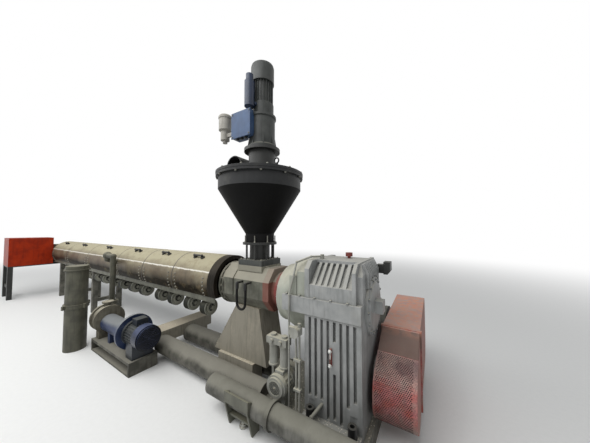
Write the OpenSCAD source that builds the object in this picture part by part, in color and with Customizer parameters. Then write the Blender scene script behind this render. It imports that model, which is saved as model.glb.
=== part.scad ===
// Plastic extruder, gearbox at the right (+X), die head at the left (-X).
// The origin is on the floor under the middle of the gearbox, Z is up, millimetres.

/* [Screw line] */
// height of the screw axis above the floor
axis_z = 1000; // [950:1:1100]
// length of the round thrust housing
bell_len = 335; // [300:1:380]
// length of the red coupling cover
red_len = 70; // [60:1:90]
// length of the feed throat casting
throat_len = 715; // [680:1:780]
// width of the dark ring at the barrel start
ring_w = 116; // [80:1:140]
// length of the heated and covered barrel
barrel_len = 6106; // [5600:1:6600]
// radius of the barrel covers
cover_r = 300; // [280:1:310]

/* [Gearbox] */
// length of the gearbox housing along the screw
gear_len = 452; // [430:1:500]
// half the width of the gearbox housing
gear_half = 310; // [290:1:330]
// height of the housing above the screw axis
gear_rise = 350; // [330:1:380]
// height of the split flange
band_h = 128; // [100:1:140]
// depth of the cooling grooves
groove_d = 32; // [15:1:45]
// width of one cooling groove
groove_w = 23; // [16:1:28]
// thickness of the gearbox foot
ledge_t = 45; // [35:1:55]
// how far the foot stands out beside the housing
ledge_out = 75; // [70:1:90]
// radius of the head of a foot bolt
bolt_head_r = 32; // [24:1:34]
// radius of the rear bearing cover
rear_r = 225; // [200:1:235]

/* [Base] */
// height of the plate box under the gearbox
plinth_h = 143; // [130:1:160]
// radius of the far base tube
tube_far_r = 110; // [90:1:115]
// radius of the middle base tube
tube_mid_r = 105; // [90:1:110]
// radius of the near base tube
tube_near_r = 86; // [70:1:88]
// height of the top of the cross beam
beam_top = 300; // [270:1:330]
// width of the cross beam
beam_w = 235; // [180:1:260]
// wall of the foot bracket plates
bracket_t = 15; // [10:1:20]
// radius of the levelling screw
screw_r = 18; // [12:1:24]

/* [Feed throat] */
// half the width of the throat casting
throat_half = 215; // [195:1:225]
// bore of the feed opening
feed_r = 98; // [90:1:105]
// radius of the throat flange
throat_flange_r = 235; // [220:1:250]
// radius of the red cover
red_r = 185; // [160:1:200]

/* [Hopper] */
// half the side of the square flange
square_half = 160; // [145:1:175]
// radius of the lower mouth of the cone
neck_r = 155; // [145:1:165]
// radius of the hopper cylinder
hopper_r = 445; // [420:1:460]
// height of the cone
cone_h = 560; // [500:1:600]
// height of the hopper cylinder
drum_h = 140; // [120:1:300]
// wall of the hopper sheet
sheet_t = 6; // [5:1:8]
// height of the open frame between flange and cone
spool_h = 170; // [150:1:200]
// radius of the crammer gear drum
crammer_r = 150; // [140:1:165]
// radius of the crammer reducer
reducer_r = 140; // [130:1:148]
// radius of the crammer motor
crammer_motor_r = 118; // [100:1:125]

/* [Blowers] */
// radius of one blower
blower_r = 92; // [75:1:98]
// width of one blower
blower_w = 90; // [70:1:95]
// how far the blower axis lies below the trough plate
blower_drop = 145; // [130:1:155]
// half the width of the tray under the barrel
trough_half = 256; // [240:1:260]
// height of the side skirts of the tray
trough_h = 62; // [50:1:70]

/* [Belt guard] */
// width of the belt guard along the screw
guard_w = 287; // [250:1:300]
// height of the flat top of the belt guard
guard_top = 770; // [740:1:790]
// height of the underside of the belt guard
guard_low = 160; // [140:1:180]
// height of the shaft of the drive motor
motor_z = 450; // [400:1:480]
// gap between gearbox and belt guard
guard_gap = 38; // [38:1:60]
// radius of the drive motor
drive_r = 250; // [230:1:260]

/* [Vacuum unit] */
// radius of the vacuum tank
tank_r = 118; // [110:1:130]
// height of the vacuum tank
tank_h = 1113; // [1000:1:1200]
// radius of the pump motor
pump_motor_r = 132; // [120:1:145]
// radius of the vacuum pump body
pump_r = 155; // [145:1:165]
// height of the pump axis
pump_z = 390; // [370:1:410]
// radius of the vent pipe
vent_r = 38; // [30:1:45]

/* [Head] */
// length of the screen changer block
block_len = 260; // [220:1:300]
// length of the die head
die_len = 350; // [300:1:400]
// radius of the die head
die_r = 160; // [150:1:175]
// radius of the bolt circle on the die face
die_pcd_r = 125; // [110:1:130]
// radius of a bolt hole on the die face
die_hole_r = 9; // [8:1:11]

/* [Hidden] */
$fn = 48;
gap = 0.3;
gx0 = -gear_len / 2;
gx1 = gear_len / 2;
foot_z = plinth_h + ledge_t;
band_z0 = axis_z - band_h / 2 - 1;
band_z1 = axis_z + band_h / 2 - 1;
gear_top = axis_z + gear_rise;
bell_x = gx0 - bell_len;
red_x = bell_x - red_len;
throat_x = red_x - throat_len;
ring_x = throat_x - ring_w;
barrel_x = ring_x - barrel_len;
hopper_x = red_x - 331;
throat_top = axis_z + 215;
flat_top = throat_top + 25;
spool_z0 = flat_top + 35;
spool_z1 = spool_z0 + spool_h;
cone_z0 = spool_z1 + 25;
cone_z1 = cone_z0 + cone_h;
drum_z1 = cone_z1 + drum_h;
lid_z0 = drum_z1 + 12;
lid_z1 = lid_z0 + 38;
crammer_x = hopper_x + 25;
crammer_z = lid_z1 + 265;
cut_z = axis_z - 140;
// the bare barrel lies just above the tray
core_r = axis_z - cut_z - 5;
trough_z0 = cut_z - trough_h;
beam_x1 = ring_x - 853;
beam_x0 = beam_x1 - beam_w;
near_y = -497;
near_z = 203;
mid_y = -300;
far_y = 85;
pedestal_z = 151 + tube_far_r;
base_x = bell_x - 59;
plinth_half = 330;
guard_x0 = gx1 + guard_gap;
guard_x1 = guard_x0 + guard_w;
tank_x = ring_x - 2031;
tank_y = -840;
pump_y = -586;
pump_x1 = ring_x - 598;
vent_x = ring_x - 2121;
vent_y = -cover_r - 110;

module bx(x0, x1, y0, y1, z0, z1) {
  translate([x0, y0, z0]) cube([x1 - x0, y1 - y0, z1 - z0]);
}
module cx(x0, x1, y, z, r, n = 48) {
  translate([x0, y, z]) rotate([0, 90, 0]) cylinder(r = r, h = x1 - x0, $fn = n);
}
module cy(y0, y1, x, z, r, n = 48) {
  translate([x, y1, z]) rotate([90, 0, 0]) cylinder(r = r, h = y1 - y0, $fn = n);
}
module cz(z0, z1, x, y, r, n = 48) {
  translate([x, y, z0]) cylinder(r = r, h = z1 - z0, $fn = n);
}
// a profile in Y and Z, drawn out along X
module yz(x0, x1) {
  translate([x0, 0, 0]) rotate([90, 0, 90]) linear_extrude(x1 - x0) children();
}
// a profile in X and Z, drawn out along Y
module xz(y0, y1) {
  translate([0, y1, 0]) rotate([90, 0, 0]) linear_extrude(y1 - y0) children();
}
// a straight rod between two points
module rod(p, q, r, n = 24) {
  d = q - p;
  len = norm(d);
  translate(p) rotate([0, acos(d[2] / len), atan2(d[1], d[0])]) cylinder(r = r, h = len, $fn = n);
}
// a bent pipe through a list of points
module pipe(pts, r, n = 24) {
  for (i = [0 : len(pts) - 2]) {
    rod(pts[i], pts[i + 1], r, n);
    // an elbow fitting, fuller than the pipe
    if (i > 0) translate(pts[i]) sphere(r = r + 3, $fn = n);
  }
}

// The base: tubes, cross beam and gearbox plinth
module base_tubes() {
  color("#8d8a7b") {
    difference() {
      cx(beam_x1, base_x, far_y, 150, tube_far_r);
      cx(beam_x1 + 8, base_x - 8, far_y, 150, tube_far_r - 8);
    }
    difference() {
      cx(beam_x1, base_x, mid_y, 150, tube_mid_r);
      cx(beam_x1 + 8, base_x - 8, mid_y, 150, tube_mid_r - 8);
    }
  }
}
module base_tube_near() {
  color("#8f8d80") difference() {
    union() {
      cx(base_x - 460, gx1 + 200, near_y, near_z, tube_near_r);
      cx(gx0 - 186, gx0 - 156, near_y, near_z, tube_near_r + 14);
    }
    cx(base_x - 452, gx1 + 192, near_y, near_z, tube_near_r - 8);
  }
}
module cross_beam() {
  color("#b5ab97") {
    difference() {
      bx(beam_x0, beam_x1, -330, 430, 150, beam_top);
      bx(beam_x0 + 10, beam_x1 - 10, -331, 431, 160, beam_top - 10);
    }
    bx(beam_x0 + 50, beam_x1 - 50, -300, -200, 0, 150);
    bx(beam_x0 + 50, beam_x1 - 50, 300, 400, 0, 150);
  }
}
module gearbox_plinth() {
  color("#6f6d64") {
    bx(base_x, gx1 + 35, -plinth_half, plinth_half, 0, plinth_h);
    // two arms hold the near tube
    for (x = [gx0 - 120, gx1 - 90]) difference() {
      bx(x, x + 60, near_y + 10, -plinth_half, plinth_h - 40, plinth_h);
      cx(x - 1, x + 61, near_y, near_z, tube_near_r + gap);
    }
  }
}
module foot_brackets() {
  front = near_y - tube_near_r - 5;
  color("#8a8778") for (x0 = [base_x - 195, gx1 + 20]) difference() {
    union() {
      // two cheeks down to the floor, a front plate and a shelf for the levelling screw
      for (x = [x0, x0 + 261 - bracket_t]) yz(x, x + bracket_t)
        polygon([[front - bracket_t, near_z + 90], [front - bracket_t, near_z + 4], [near_y - 50, 0],
          [near_y + 30, 0], [near_y + 30, near_z + 20]]);
      bx(x0, x0 + 261, front - bracket_t, front, near_z + 4, near_z + 90);
      bx(x0, x0 + 261, near_y - 55, near_y + 20, 75, 90);
    }
    cx(x0 - 10, x0 + 300, near_y, near_z, tube_near_r + gap);
  }
}
module levelling_screws() {
  color("#77766d") for (x0 = [base_x - 195, gx1 + 20]) {
    cz(0, 12, x0 + 130, near_y - 12, 34, 32);
    cz(12, 30, x0 + 130, near_y - 12, screw_r + 8, 32);
    cz(30, 75, x0 + 130, near_y - 12, screw_r, 32);
  }
}

// The gearbox: foot, finned housing, split flange, finned cover and round thrust housing
bolt_x = [gx0 + 68, gx1 - 59];
gauge_z0 = axis_z - 404;
gauge_z1 = axis_z - 277;
groove_n = 8;
module gearbox_foot() {
  color("#b3b0a0") bx(gx0, gx1, -gear_half - ledge_out, gear_half + ledge_out, plinth_h, foot_z);
}
module gearbox_foot_bolts() {
  color("#1c1c1c") for (x = bolt_x, s = [-1, 1]) difference() {
    cz(foot_z, foot_z + 78, x, s * (gear_half + 38), bolt_head_r, 40);
    cz(foot_z + 46, foot_z + 79, x, s * (gear_half + 38), bolt_head_r / 2, 24);
  }
}
// the grooves end at different heights, clear of the bolts, the drain and the gauge
groove_low = [134, 134, 134, 8, 27, 8, 150, 202];
groove_mid = [gauge_z0 - 56, gauge_z1 + 48];
module gearbox_lower_housing() {
  color("#8f9294") difference() {
    bx(gx0, gx1, -gear_half, gear_half, foot_z, band_z0);
    for (s = [-1, 1], i = [0 : groove_n - 1])
      translate([gx0 + 48 + i * (gear_len - 96) / (groove_n - 1), s * gear_half, 0])
        difference() {
          bx(-groove_w / 2, groove_w / 2, -groove_d, groove_d, foot_z + groove_low[i], band_z0 - 18);
          // a flush pad behind the gauge
          if (i == 4) bx(-groove_w, groove_w, -groove_d - 1, groove_d + 1, groove_mid[0], groove_mid[1]);
        }
    for (s = [-1, 1], x = bolt_x) translate([x, s * (gear_half + 38), 0])
      cz(foot_z - 1, foot_z + 110, 0, 0, bolt_head_r + 16, 40);
  }
}
module gearbox_split_flange() {
  color("#949698") {
    bx(gx0, gx1, -gear_half - 12, gear_half + 12, band_z0, band_z1);
    difference() {
      yz(gx0 - 212, gx0) polygon([[-gear_half - 12, band_z0], [gear_half + 12, band_z0],
        [gear_half + 12, band_z1], [-gear_half - 12, band_z1]]);
      cx(bell_x - 1, gx0 - gap, 0, axis_z, 300);
    }
  }
}
// the cover between its two end walls leans back like a roof and carries the slanted grooves
module cover_profile(w, shoulder, roof, top) {
  polygon([[-w, band_z1], [-w, shoulder], [-roof, top], [roof, top], [w, shoulder], [w, band_z1]]);
}
module slope_pocket(w, shoulder, roof, top, d) {
  polygon([[-w, band_z1], [-w, shoulder], [-w + d, shoulder + 8], [-roof + 0.6 * d, top - 0.75 * d],
    [-roof, top], [roof, top], [roof - 0.6 * d, top - 0.75 * d], [w - d, shoulder + 8], [w, shoulder],
    [w, band_z1]]);
}
// the ribs of the rear wall end above the round bearing cover
rear_rib_y = [for (i = [0 : 8]) -168 + i * 42];
function rear_rib_z(y) = axis_z - 5 + sqrt((rear_r + 12) * (rear_r + 12) - y * y);
module gearbox_upper_housing() {
  w = gear_half - 4;
  x0 = gx0 + 40;
  x1 = gx1 - 65;
  pitch = (x1 - x0 - 26) / 6.5;
  color("#8f9294") {
    // end walls
    yz(gx0, x0) cover_profile(gear_half, gear_top - 60, gear_half - 60, gear_top);
    yz(x1, x1 + 27) cover_profile(gear_half, gear_top - 60, gear_half - 60, gear_top);
    // upright wall, sloping part with pockets, ribs between the pockets
    yz(x0, x1) slope_pocket(w, gear_top - 182, gear_half - 150, gear_top - 22, 34);
    bx(x0, x1, -gear_half + 150, gear_half - 150, gear_top - 23, gear_top);
    for (i = [0 : 5]) yz(x0 + 26 + i * pitch, x0 + 26 + i * pitch + (i == 5 ? 28 : 24))
      cover_profile(w, gear_top - 182, gear_half - 150, gear_top - 22);
    // rear wall, bevelled at the top, with upright ribs that follow the bevel
    difference() {
      yz(gx1 - 38, gx1) cover_profile(gear_half - 40, gear_top - 90, gear_half - 130, gear_top - 8);
      xz(-gear_half, gear_half) polygon([[gx1 + 2, gear_top - 82], [gx1 + 2, gear_top],
        [gx1 - 34, gear_top], [gx1 - 34, gear_top - 8]]);
    }
    for (i = [0 : 8]) xz(rear_rib_y[i] - 8, rear_rib_y[i] + 8)
      polygon([[gx1 - 2, rear_rib_z(rear_rib_y[i])], [gx1 + 20, rear_rib_z(rear_rib_y[i])],
        [gx1 + 20, gear_top - 78], [gx1 - 14, gear_top - 9], [gx1 - 35, gear_top - 9],
        [gx1 - 35, gear_top - 20], [gx1 - 12, gear_top - 78]]);
  }
}
module gearbox_thrust_housing() {
  color("#a3a59b") translate([bell_x, 0, axis_z]) rotate([0, 90, 0]) rotate_extrude($fn = 64)
    polygon([[0, 0], [205, 0], [215, 12], [255, 12], [264, 22], [264, 60], [288, 120],
      [299, 150], [299, bell_len - gap], [0, bell_len - gap]]);
}
module shoulder_profile(w, side_z, roof, top) {
  polygon([[-w, band_z1], [-w, side_z], [-roof, top], [roof, top], [w, side_z], [w, band_z1]]);
}
module thrust_housing_shell() {
  // stepped shoulder over the band, between the round housing and the gearbox
  color("#a0a297") for (s = [0, 1]) difference() {
    yz(gx0 - 150 + s * 76, gx0 - 80 + s * 80)
      shoulder_profile(gear_half - 8, gear_top - 130 + s * 40, gear_half - 110, gear_top - 30 + s * 22);
    cx(bell_x - 1, gx0 + 1, 0, axis_z, 299 + gap, 64);
  }
}
module gearbox_rear_cover() {
  color("#8f9294") translate([gx1, 0, axis_z - 5]) rotate([0, 90, 0]) rotate_extrude($fn = 64)
    polygon([[0, 0], [rear_r, 0], [rear_r, 20], [rear_r - 35, 20], [rear_r - 45, 32], [0, 32]]);
  color("#8a8d8f") bx(gx1 + 32, gx1 + 92, -48, 48, axis_z - 53, axis_z + 43);
}
module rear_top_box() {
  // switch box on a dark bracket at the far side of the rear wall
  color("#2a2b2a") bx(gx1, gx1 + 58, 186, 262, axis_z + 222, gear_top - 55);
  color("#77787a") xz(178, 268)
    polygon([[gx1 + 58, axis_z + 215], [gx1 + 90, axis_z + 215], [gx1 + 112, axis_z + 245],
      [gx1 + 112, gear_top - 28], [gx1 + 58, gear_top - 28]]);
}
module input_bearing_cover() {
  color("#77797b") {
    cx(gx1, gx1 + 18, 130, motor_z - 30, 120);
    cx(gx1 + 18, gx1 + 30, 130, motor_z - 30, 85);
    cx(gx1 + 30, guard_x0 - gap, 130, motor_z - 30, 35, 32);
  }
}
module oil_level_gauge() {
  color("#7a4a40") {
    bx(-8, 8, -gear_half - 16, -gear_half, gauge_z0, gauge_z1);
    cy(-gear_half - 26, -gear_half - 16, 0, gauge_z0 + 12, 9, 24);
    cy(-gear_half - 26, -gear_half - 16, 0, gauge_z1 - 12, 9, 24);
  }
}
module breather_cap() {
  color("#8c2f2c") {
    cz(gear_top, gear_top + 18, 20, 60, 14, 24);
    cz(gear_top + 18, gear_top + 50, 20, 60, 30, 32);
  }
}

// The oil unit beside the gearbox
module oil_pump_motor() {
  x = gx0 - 232;
  z = 318;
  color("#9a9b94") {
    cy(-398, -380, x, z, 78, 40);
    cy(-380, -345, x, z, 92, 40);
    cy(-345, -255, x, z, 82, 40);
    cy(-255, -240, x, z, 92, 40);
    // cooling ribs
    for (a = [0 : 20 : 340]) translate([x, 0, z]) rotate([0, a, 0]) bx(78, 91, -345, -255, -2.5, 2.5);
    bx(x - 60, x + 60, -330, -260, plinth_h, z - 70);
    bx(x - 40, x + 40, -335, -265, z + 70, z + 106);
  }
}
module oil_pump() {
  x = gx0 - 232;
  color("#83847e") {
    cy(-240, -165, x, 318, 58, 32);
    bx(x - 45, x + 45, -165, -95, 250, 386);
    bx(x - 26, x + 26, -150, -110, plinth_h, 250);
    // suction stub
    cx(x - 90, x - 45, -130, 318, 22, 24);
  }
}
module oil_filters() {
  x0 = gx0 - 386;
  x1 = gx0 - 176;
  color("#a3a29a") {
    // head block on a bracket, with two bowls hanging below it
    bx(x0, x1, -312, -232, 612, 672);
    for (x = [x0 + 52, x1 - 44]) {
      cz(596, 612, x, -272, 44, 32);
      cz(440, 596, x, -272, 38, 32);
      cz(428, 440, x, -272, 44, 32);
      cz(672, 690, x, -272, 26, 24);
    }
    bx(x0, x0 + 24, -232, -212, plinth_h, 672);
    // ports at the front
    for (x = [x0 + 60, x1 - 60]) cy(-330, -312, x, 642, 18, 24);
  }
}
module oil_pipe() {
  py = -gear_half - 26;
  color("#77776f") {
    pipe([[gx0 - 131, py, plinth_h], [gx0 - 131, py, axis_z + 70], [gx0 - 74, -gear_half + 2, gear_top - 14],
      [gx0 - 2, -gear_half + 118, gear_top + 24], [gx0 + 60, -gear_half + 190, gear_top + 24]], 8, 24);
    cz(gear_top, gear_top + 40, gx0 + 66, -gear_half + 196, 16, 24);
  }
}
module oil_distributor() {
  py = -gear_half - 26;
  color("#8b8b83") {
    // two risers, tied by clamps, with a valve body and a gauge on top
    for (x = [gx0 - 64, gx0 - 34]) cz(plinth_h, 770, x, py + 2, 9, 20);
    bx(gx0 - 84, gx0 - 16, py - 14, py + 18, 770, 826);
    cy(py - 46, py - 14, gx0 - 52, 798, 34, 32);
    cy(py - 58, py - 46, gx0 - 52, 798, 42, 32);
    cx(gx0 - 122, gx0 - 84, py, 812, 13, 24);
    cz(826, 858, gx0 - 34, py, 13, 24);
    for (z = [330, 560]) bx(gx0 - 80, gx0 - 18, py - 16, py + 18, z, z + 18);
  }
}
module drain_valve() {
  x = gx0 + 104;
  y = -gear_half - 84;
  color("#9a988c") {
    difference() {
      rod([gx0 + 154, -gear_half + 14, foot_z + 107], [x, y, foot_z + 42], 14);
      bx(gx0, gx1, -gear_half, gear_half, foot_z, band_z0);
    }
    translate([x, y, foot_z + 42]) sphere(r = 17, $fn = 24);
    cz(foot_z + 3, foot_z + 42, x, y, 11, 24);
  }
}

// The belt guard and the drive motor behind the gearbox
// points on an arc from angle a to angle b
function arc(y, z, r, a, b, n) =
  [for (i = [0 : n]) let (t = a + (b - a) * i / n) [y + r * cos(t), z + r * sin(t)]];
guard_r = 200;
guard_back = 1200;
// where the front part and the rear part are bolted together
guard_joint = 212;
module guard_front(grow) {
  polygon(concat(arc(10, guard_low + guard_r, guard_r + grow, 270, 180, 8),
    arc(10, guard_top - 362, guard_r + grow, 180, 122, 6),
    [[guard_joint, guard_top + grow], [guard_joint, guard_low - grow]]));
}
module guard_rear(grow) {
  // the top rises a little towards the back
  polygon(concat([[guard_joint, guard_low - grow], [guard_joint, guard_top + grow]],
    arc(guard_back - 90, guard_top - 45, 90 + grow, 93, 0, 8),
    arc(guard_back - guard_r, guard_low + guard_r, guard_r + grow, 0, -90, 8)));
}
module belt_guard_front() {
  color("#b06a55") yz(guard_x0, guard_x1) guard_front(0);
  // plain plate over the top of the mesh
  color("#a4786a") yz(guard_x0 + 3, guard_x1 - 3)
    polygon([[8, guard_top - (guard_joint - 8) * tan(32) - 4], [guard_joint - 8, guard_top - 8 * tan(32) - 4],
      [guard_joint - 8, guard_top - 8 * tan(32) + 4], [8, guard_top - (guard_joint - 8) * tan(32) + 4]]);
  // flange along the joint
  color("#8d6a5c") difference() {
    yz(guard_x0 - 10, guard_x1 + 12) guard_front(12);
    bx(guard_x0 - 20, guard_x1 + 20, -400, guard_joint - 8, 0, guard_top + 100);
  }
}
module belt_guard_rear() {
  color("#b0705c") yz(guard_x0, guard_x1) guard_rear(0);
  color("#8d6a5c") difference() {
    yz(guard_x0 - 10, guard_x1 + 12) guard_rear(12);
    bx(guard_x0 - 20, guard_x1 + 20, guard_joint + 8, guard_back + 100, 0, guard_top + 100);
  }
  // feet
  color("#4d4a45") for (y = [320, 920]) bx(guard_x0 + 40, guard_x1 - 40, y, y + 60, 0, guard_low);
}
motor_y = 900;
module drive_motor() {
  color("#565b5e") {
    cx(gx0 - 350, gx1 - 60, motor_y, motor_z, drive_r, 64);
    cx(gx0 - 440, gx0 - 340, motor_y, motor_z, drive_r - 12, 64);
    cx(gx1 - 65, gx1 - 30, motor_y, motor_z, drive_r + 15, 64);
    cx(gx1 - 40, guard_x0 - gap, motor_y, motor_z, 45, 32);
    // feet and terminal box
    bx(gx0 - 300, gx1 - 110, motor_y - 200, motor_y + 200, motor_z - drive_r - 20, motor_z - 150);
    bx(gx0 - 200, gx1 - 250, motor_y - 110, motor_y + 110, motor_z + 150, motor_z + drive_r + 70);
  }
}
module motor_stand() {
  top = motor_z - drive_r - 20;
  color("#6f6d64") difference() {
    bx(gx0 - 330, gx1 - 80, motor_y - 230, motor_y + 230, 0, top);
    bx(gx0 - 300, gx1 - 110, motor_y - 231, motor_y + 231, 30, top - 25);
  }
}

// The feed throat
module throat_profile(h) {
  top = throat_top - axis_z + h;
  polygon([[-throat_half, h - 80], [-throat_half, h + 95], [-120, top], [120, top],
    [throat_half, h + 95], [throat_half, h - 80], [120, h - 195], [-120, h - 195]]);
}
module feed_throat() {
  color("#84847a") difference() {
    union() {
      yz(throat_x + 60, red_x - 40) throat_profile(axis_z);
      cx(throat_x, throat_x + 25, 0, axis_z, throat_flange_r, 64);
      cx(throat_x + 25, throat_x + 40, 0, axis_z, throat_flange_r - 35, 64);
      cx(throat_x + 40, throat_x + 60, 0, axis_z, throat_flange_r - 8, 64);
      cx(red_x - 40, red_x, 0, axis_z, 170, 64);
      bx(hopper_x - square_half - 5, hopper_x + square_half + 5, -square_half - 5, square_half + 5,
        throat_top - 40, flat_top - 8);
      // raised cover plate towards the barrel
      yz(throat_x + 62, hopper_x - square_half - 30)
        polygon([[-190, axis_z + 110], [-110, axis_z + 236], [110, axis_z + 236], [190, axis_z + 110]]);
      // upright web at the parting of the casting
      yz(hopper_x - square_half - 30, hopper_x - square_half - 14)
        polygon([[-throat_half - 12, axis_z - 80], [-throat_half - 12, axis_z + 98], [-118, throat_top + 14],
          [118, throat_top + 14], [throat_half + 12, axis_z + 98], [throat_half + 12, axis_z - 80]]);
      // two gussets behind the square flange
      for (s = [-1, 1]) xz(s * 95 - 8, s * 95 + 8)
        polygon([[hopper_x + square_half, throat_top - 40], [hopper_x + square_half, flat_top - 8],
          [red_x - 48, throat_top - 15], [red_x - 48, throat_top - 40]]);
    }
    cz(axis_z, flat_top + 1, hopper_x, 0, feed_r);
  }
}
module coupling_cover() {
  color("#7c3b35") difference() {
    cx(red_x, bell_x, 0, axis_z, red_r, 64);
    cx(red_x - 1, red_x + 25, 0, axis_z, 90, 48);
  }
}
module throat_water_hose() {
  x = throat_x + 397;
  y = -throat_half - 75;
  z = axis_z - 117;
  r = 55;
  color("#1d1d1b") {
    // one long loop: two straight runs and a half turn at the bottom
    for (s = [-1, 1]) {
      cz(z, axis_z + 58, x + s * r, y, 12, 24);
    }
    translate([x, y, z]) rotate([90, 0, 0]) rotate_extrude(angle = -180, $fn = 48)
      translate([r, 0]) circle(r = 12, $fn = 24);
  }
}
module hose_fittings() {
  x = throat_x + 397;
  y = -throat_half - 75;
  color("#77776f") for (s = [-1, 1]) {
    // a nipple in the casting, an elbow and a socket over the hose end
    cy(y, -throat_half, x + s * 55, axis_z + 78, 11, 24);
    translate([x + s * 55, y, axis_z + 78]) sphere(r = 15, $fn = 24);
    difference() {
      cz(axis_z + 20, axis_z + 78, x + s * 55, y, 16, 24);
      cz(axis_z + 19, axis_z + 58 + gap, x + s * 55, y, 12 + gap, 24);
    }
  }
}
module throat_pedestal() {
  color("#a7a292") xz(-150, 150)
    polygon([[throat_x - 154, pedestal_z], [red_x - 110, pedestal_z], [red_x - 210, axis_z - 195],
      [throat_x + 190, axis_z - 195]]);
  color("#6f6d64") bx(throat_x - 50, red_x - 260, -185, -35, 0, pedestal_z);
}

// The hopper with its crammer drive
module hopper_square_flange() {
  h = square_half;
  color("#55564f") difference() {
    bx(hopper_x - h, hopper_x + h, -h, h, flat_top - 8, spool_z0 + 14);
    cz(flat_top - 9, spool_z0 + 15, hopper_x, 0, feed_r);
  }
}
module hopper_spool() {
  color("#2b2b2b") {
    difference() {
      cz(spool_z0 + 14, spool_z1, hopper_x, 0, feed_r + 10);
      cz(spool_z0 + 13, spool_z1 + 1, hopper_x, 0, feed_r);
    }
    for (a = [22.5 : 45 : 337.5])
      cz(spool_z0 + 14, spool_z1, hopper_x + 152 * cos(a), 152 * sin(a), 10, 20);
    difference() {
      cz(spool_z1, cone_z0, hopper_x, 0, neck_r + 28);
      cz(spool_z1 - 1, cone_z0 + 1, hopper_x, 0, feed_r);
    }
  }
}
module hopper_cone() {
  r1 = neck_r - sheet_t;
  color("#1b1b1d") translate([hopper_x, 0, cone_z0]) rotate_extrude($fn = 64)
    polygon([[r1, 0], [neck_r, 0], [neck_r, 90], [hopper_r, cone_h], [hopper_r - sheet_t, cone_h],
      [r1, 92]]);
}
module hopper_drum() {
  color("#4b4d4c") translate([hopper_x, 0, cone_z1]) rotate_extrude($fn = 64)
    polygon([[hopper_r - sheet_t, 0], [hopper_r, 0], [hopper_r, drum_h - 14], [hopper_r + 24, drum_h - 14],
      [hopper_r + 24, drum_h + 12], [hopper_r - sheet_t, drum_h + 12]]);
}
module hopper_lid() {
  color("#4a4b4a") {
    cz(lid_z0, lid_z0 + 26, hopper_x, 0, hopper_r + 26, 64);
    cz(lid_z0 + 26, lid_z1, hopper_x, 0, hopper_r - 30, 64);
    // lifting eyes on the rim
    for (a = [-30, 90, 210])
      translate([hopper_x + (hopper_r + 5) * cos(a), (hopper_r + 5) * sin(a), lid_z0 + 26]) {
        cylinder(r = 16, h = 14, $fn = 24);
        translate([0, 0, 40]) rotate([90, 0, 0])
          rotate_extrude($fn = 32) translate([25, 0]) circle(r = 7, $fn = 16);
      }
  }
  // round inlet spout on the lid
  color("#20211f") difference() {
    cy(-120, 80, hopper_x - 290, lid_z1 + 108, 115, 48);
    cy(-121, 70, hopper_x - 290, lid_z1 + 108, 105, 48);
    bx(hopper_x - 420, hopper_x - 160, -125, 85, lid_z1 - 150, lid_z1);
  }
}
module crammer_gear_drum() {
  color("#3b3c3b") {
    cz(lid_z1, lid_z1 + 18, crammer_x, 0, crammer_r + 14);
    cz(lid_z1 + 18, lid_z1 + 100, crammer_x, 0, crammer_r + 2);
    cz(lid_z1 + 100, lid_z1 + 230, crammer_x, 0, crammer_r - 4);
    cz(lid_z1 + 230, crammer_z, crammer_x, 0, crammer_r + 45);
  }
}
module crammer_reducer() {
  color("#3f423d") {
    // gear case, narrower above its flange
    translate([crammer_x, 0, crammer_z]) rotate_extrude($fn = 48)
      polygon([[0, 0], [reducer_r + 22, 0], [reducer_r + 22, 24], [reducer_r, 44], [reducer_r, 330],
        [reducer_r + 12, 338], [reducer_r + 12, 362], [reducer_r - 16, 372], [reducer_r - 16, 475],
        [0, 475]]);
    // ribs between the foot and the case
    for (a = [0 : 45 : 315]) translate([crammer_x, 0, crammer_z]) rotate(a) xz(-6, 6)
      polygon([[reducer_r - 10, 20], [reducer_r + 20, 20], [reducer_r + 2, 130], [reducer_r - 10, 130]]);
  }
}
module crammer_motor() {
  z0 = crammer_z + 475;
  color("#4a4a48") {
    cz(z0, z0 + 22, crammer_x, 0, crammer_motor_r + 6);
    cz(z0 + 22, z0 + 262, crammer_x, 0, crammer_motor_r - 14);
    // cooling ribs along the motor
    for (a = [0 : 15 : 345]) translate([crammer_x, 0, 0]) rotate(a)
      bx(crammer_motor_r - 20, crammer_motor_r, -2.5, 2.5, z0 + 22, z0 + 262);
    // fan cover with a rounded top
    translate([crammer_x, 0, z0 + 262]) rotate_extrude($fn = 48)
      polygon([[0, 0], [crammer_motor_r + 10, 0], [crammer_motor_r + 10, 178], [crammer_motor_r + 4, 200],
        [crammer_motor_r - 20, 216], [0, 220]]);
  }
}
module crammer_terminal_box() {
  color("#4f6d9a") difference() {
    union() {
      bx(hopper_x - 232, hopper_x + 30, -200, -90, crammer_z + 108, crammer_z + 378);
      bx(hopper_x - 238, hopper_x + 36, -210, -200, crammer_z + 102, crammer_z + 384);
      bx(crammer_x - 60, crammer_x, -130, -90, crammer_z + 180, crammer_z + 300);
    }
    cz(crammer_z + 40, crammer_z + 340, crammer_x, 0, reducer_r + gap, 48);
    cz(crammer_z + 330, crammer_z + 400, crammer_x, 0, reducer_r + 12 + gap, 48);
    cz(crammer_z + 40, crammer_z + 135, crammer_x, 0, reducer_r + 9, 48);
  }
}
module crammer_filter() {
  // small filter with a domed cap, held at the side of the terminal box
  x = hopper_x - 410;
  z0 = crammer_z + 115;
  color("#8a857b") {
    translate([x, -145, z0]) rotate_extrude($fn = 40)
      polygon([[0, 0], [26, 0], [26, 20], [50, 32], [50, 135], [72, 148], [72, 280], [78, 284], [78, 306],
        [66, 322], [0, 330]]);
    bx(x + 20, hopper_x - 232, -160, -130, z0 + 60, z0 + 100);
  }
}
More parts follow.
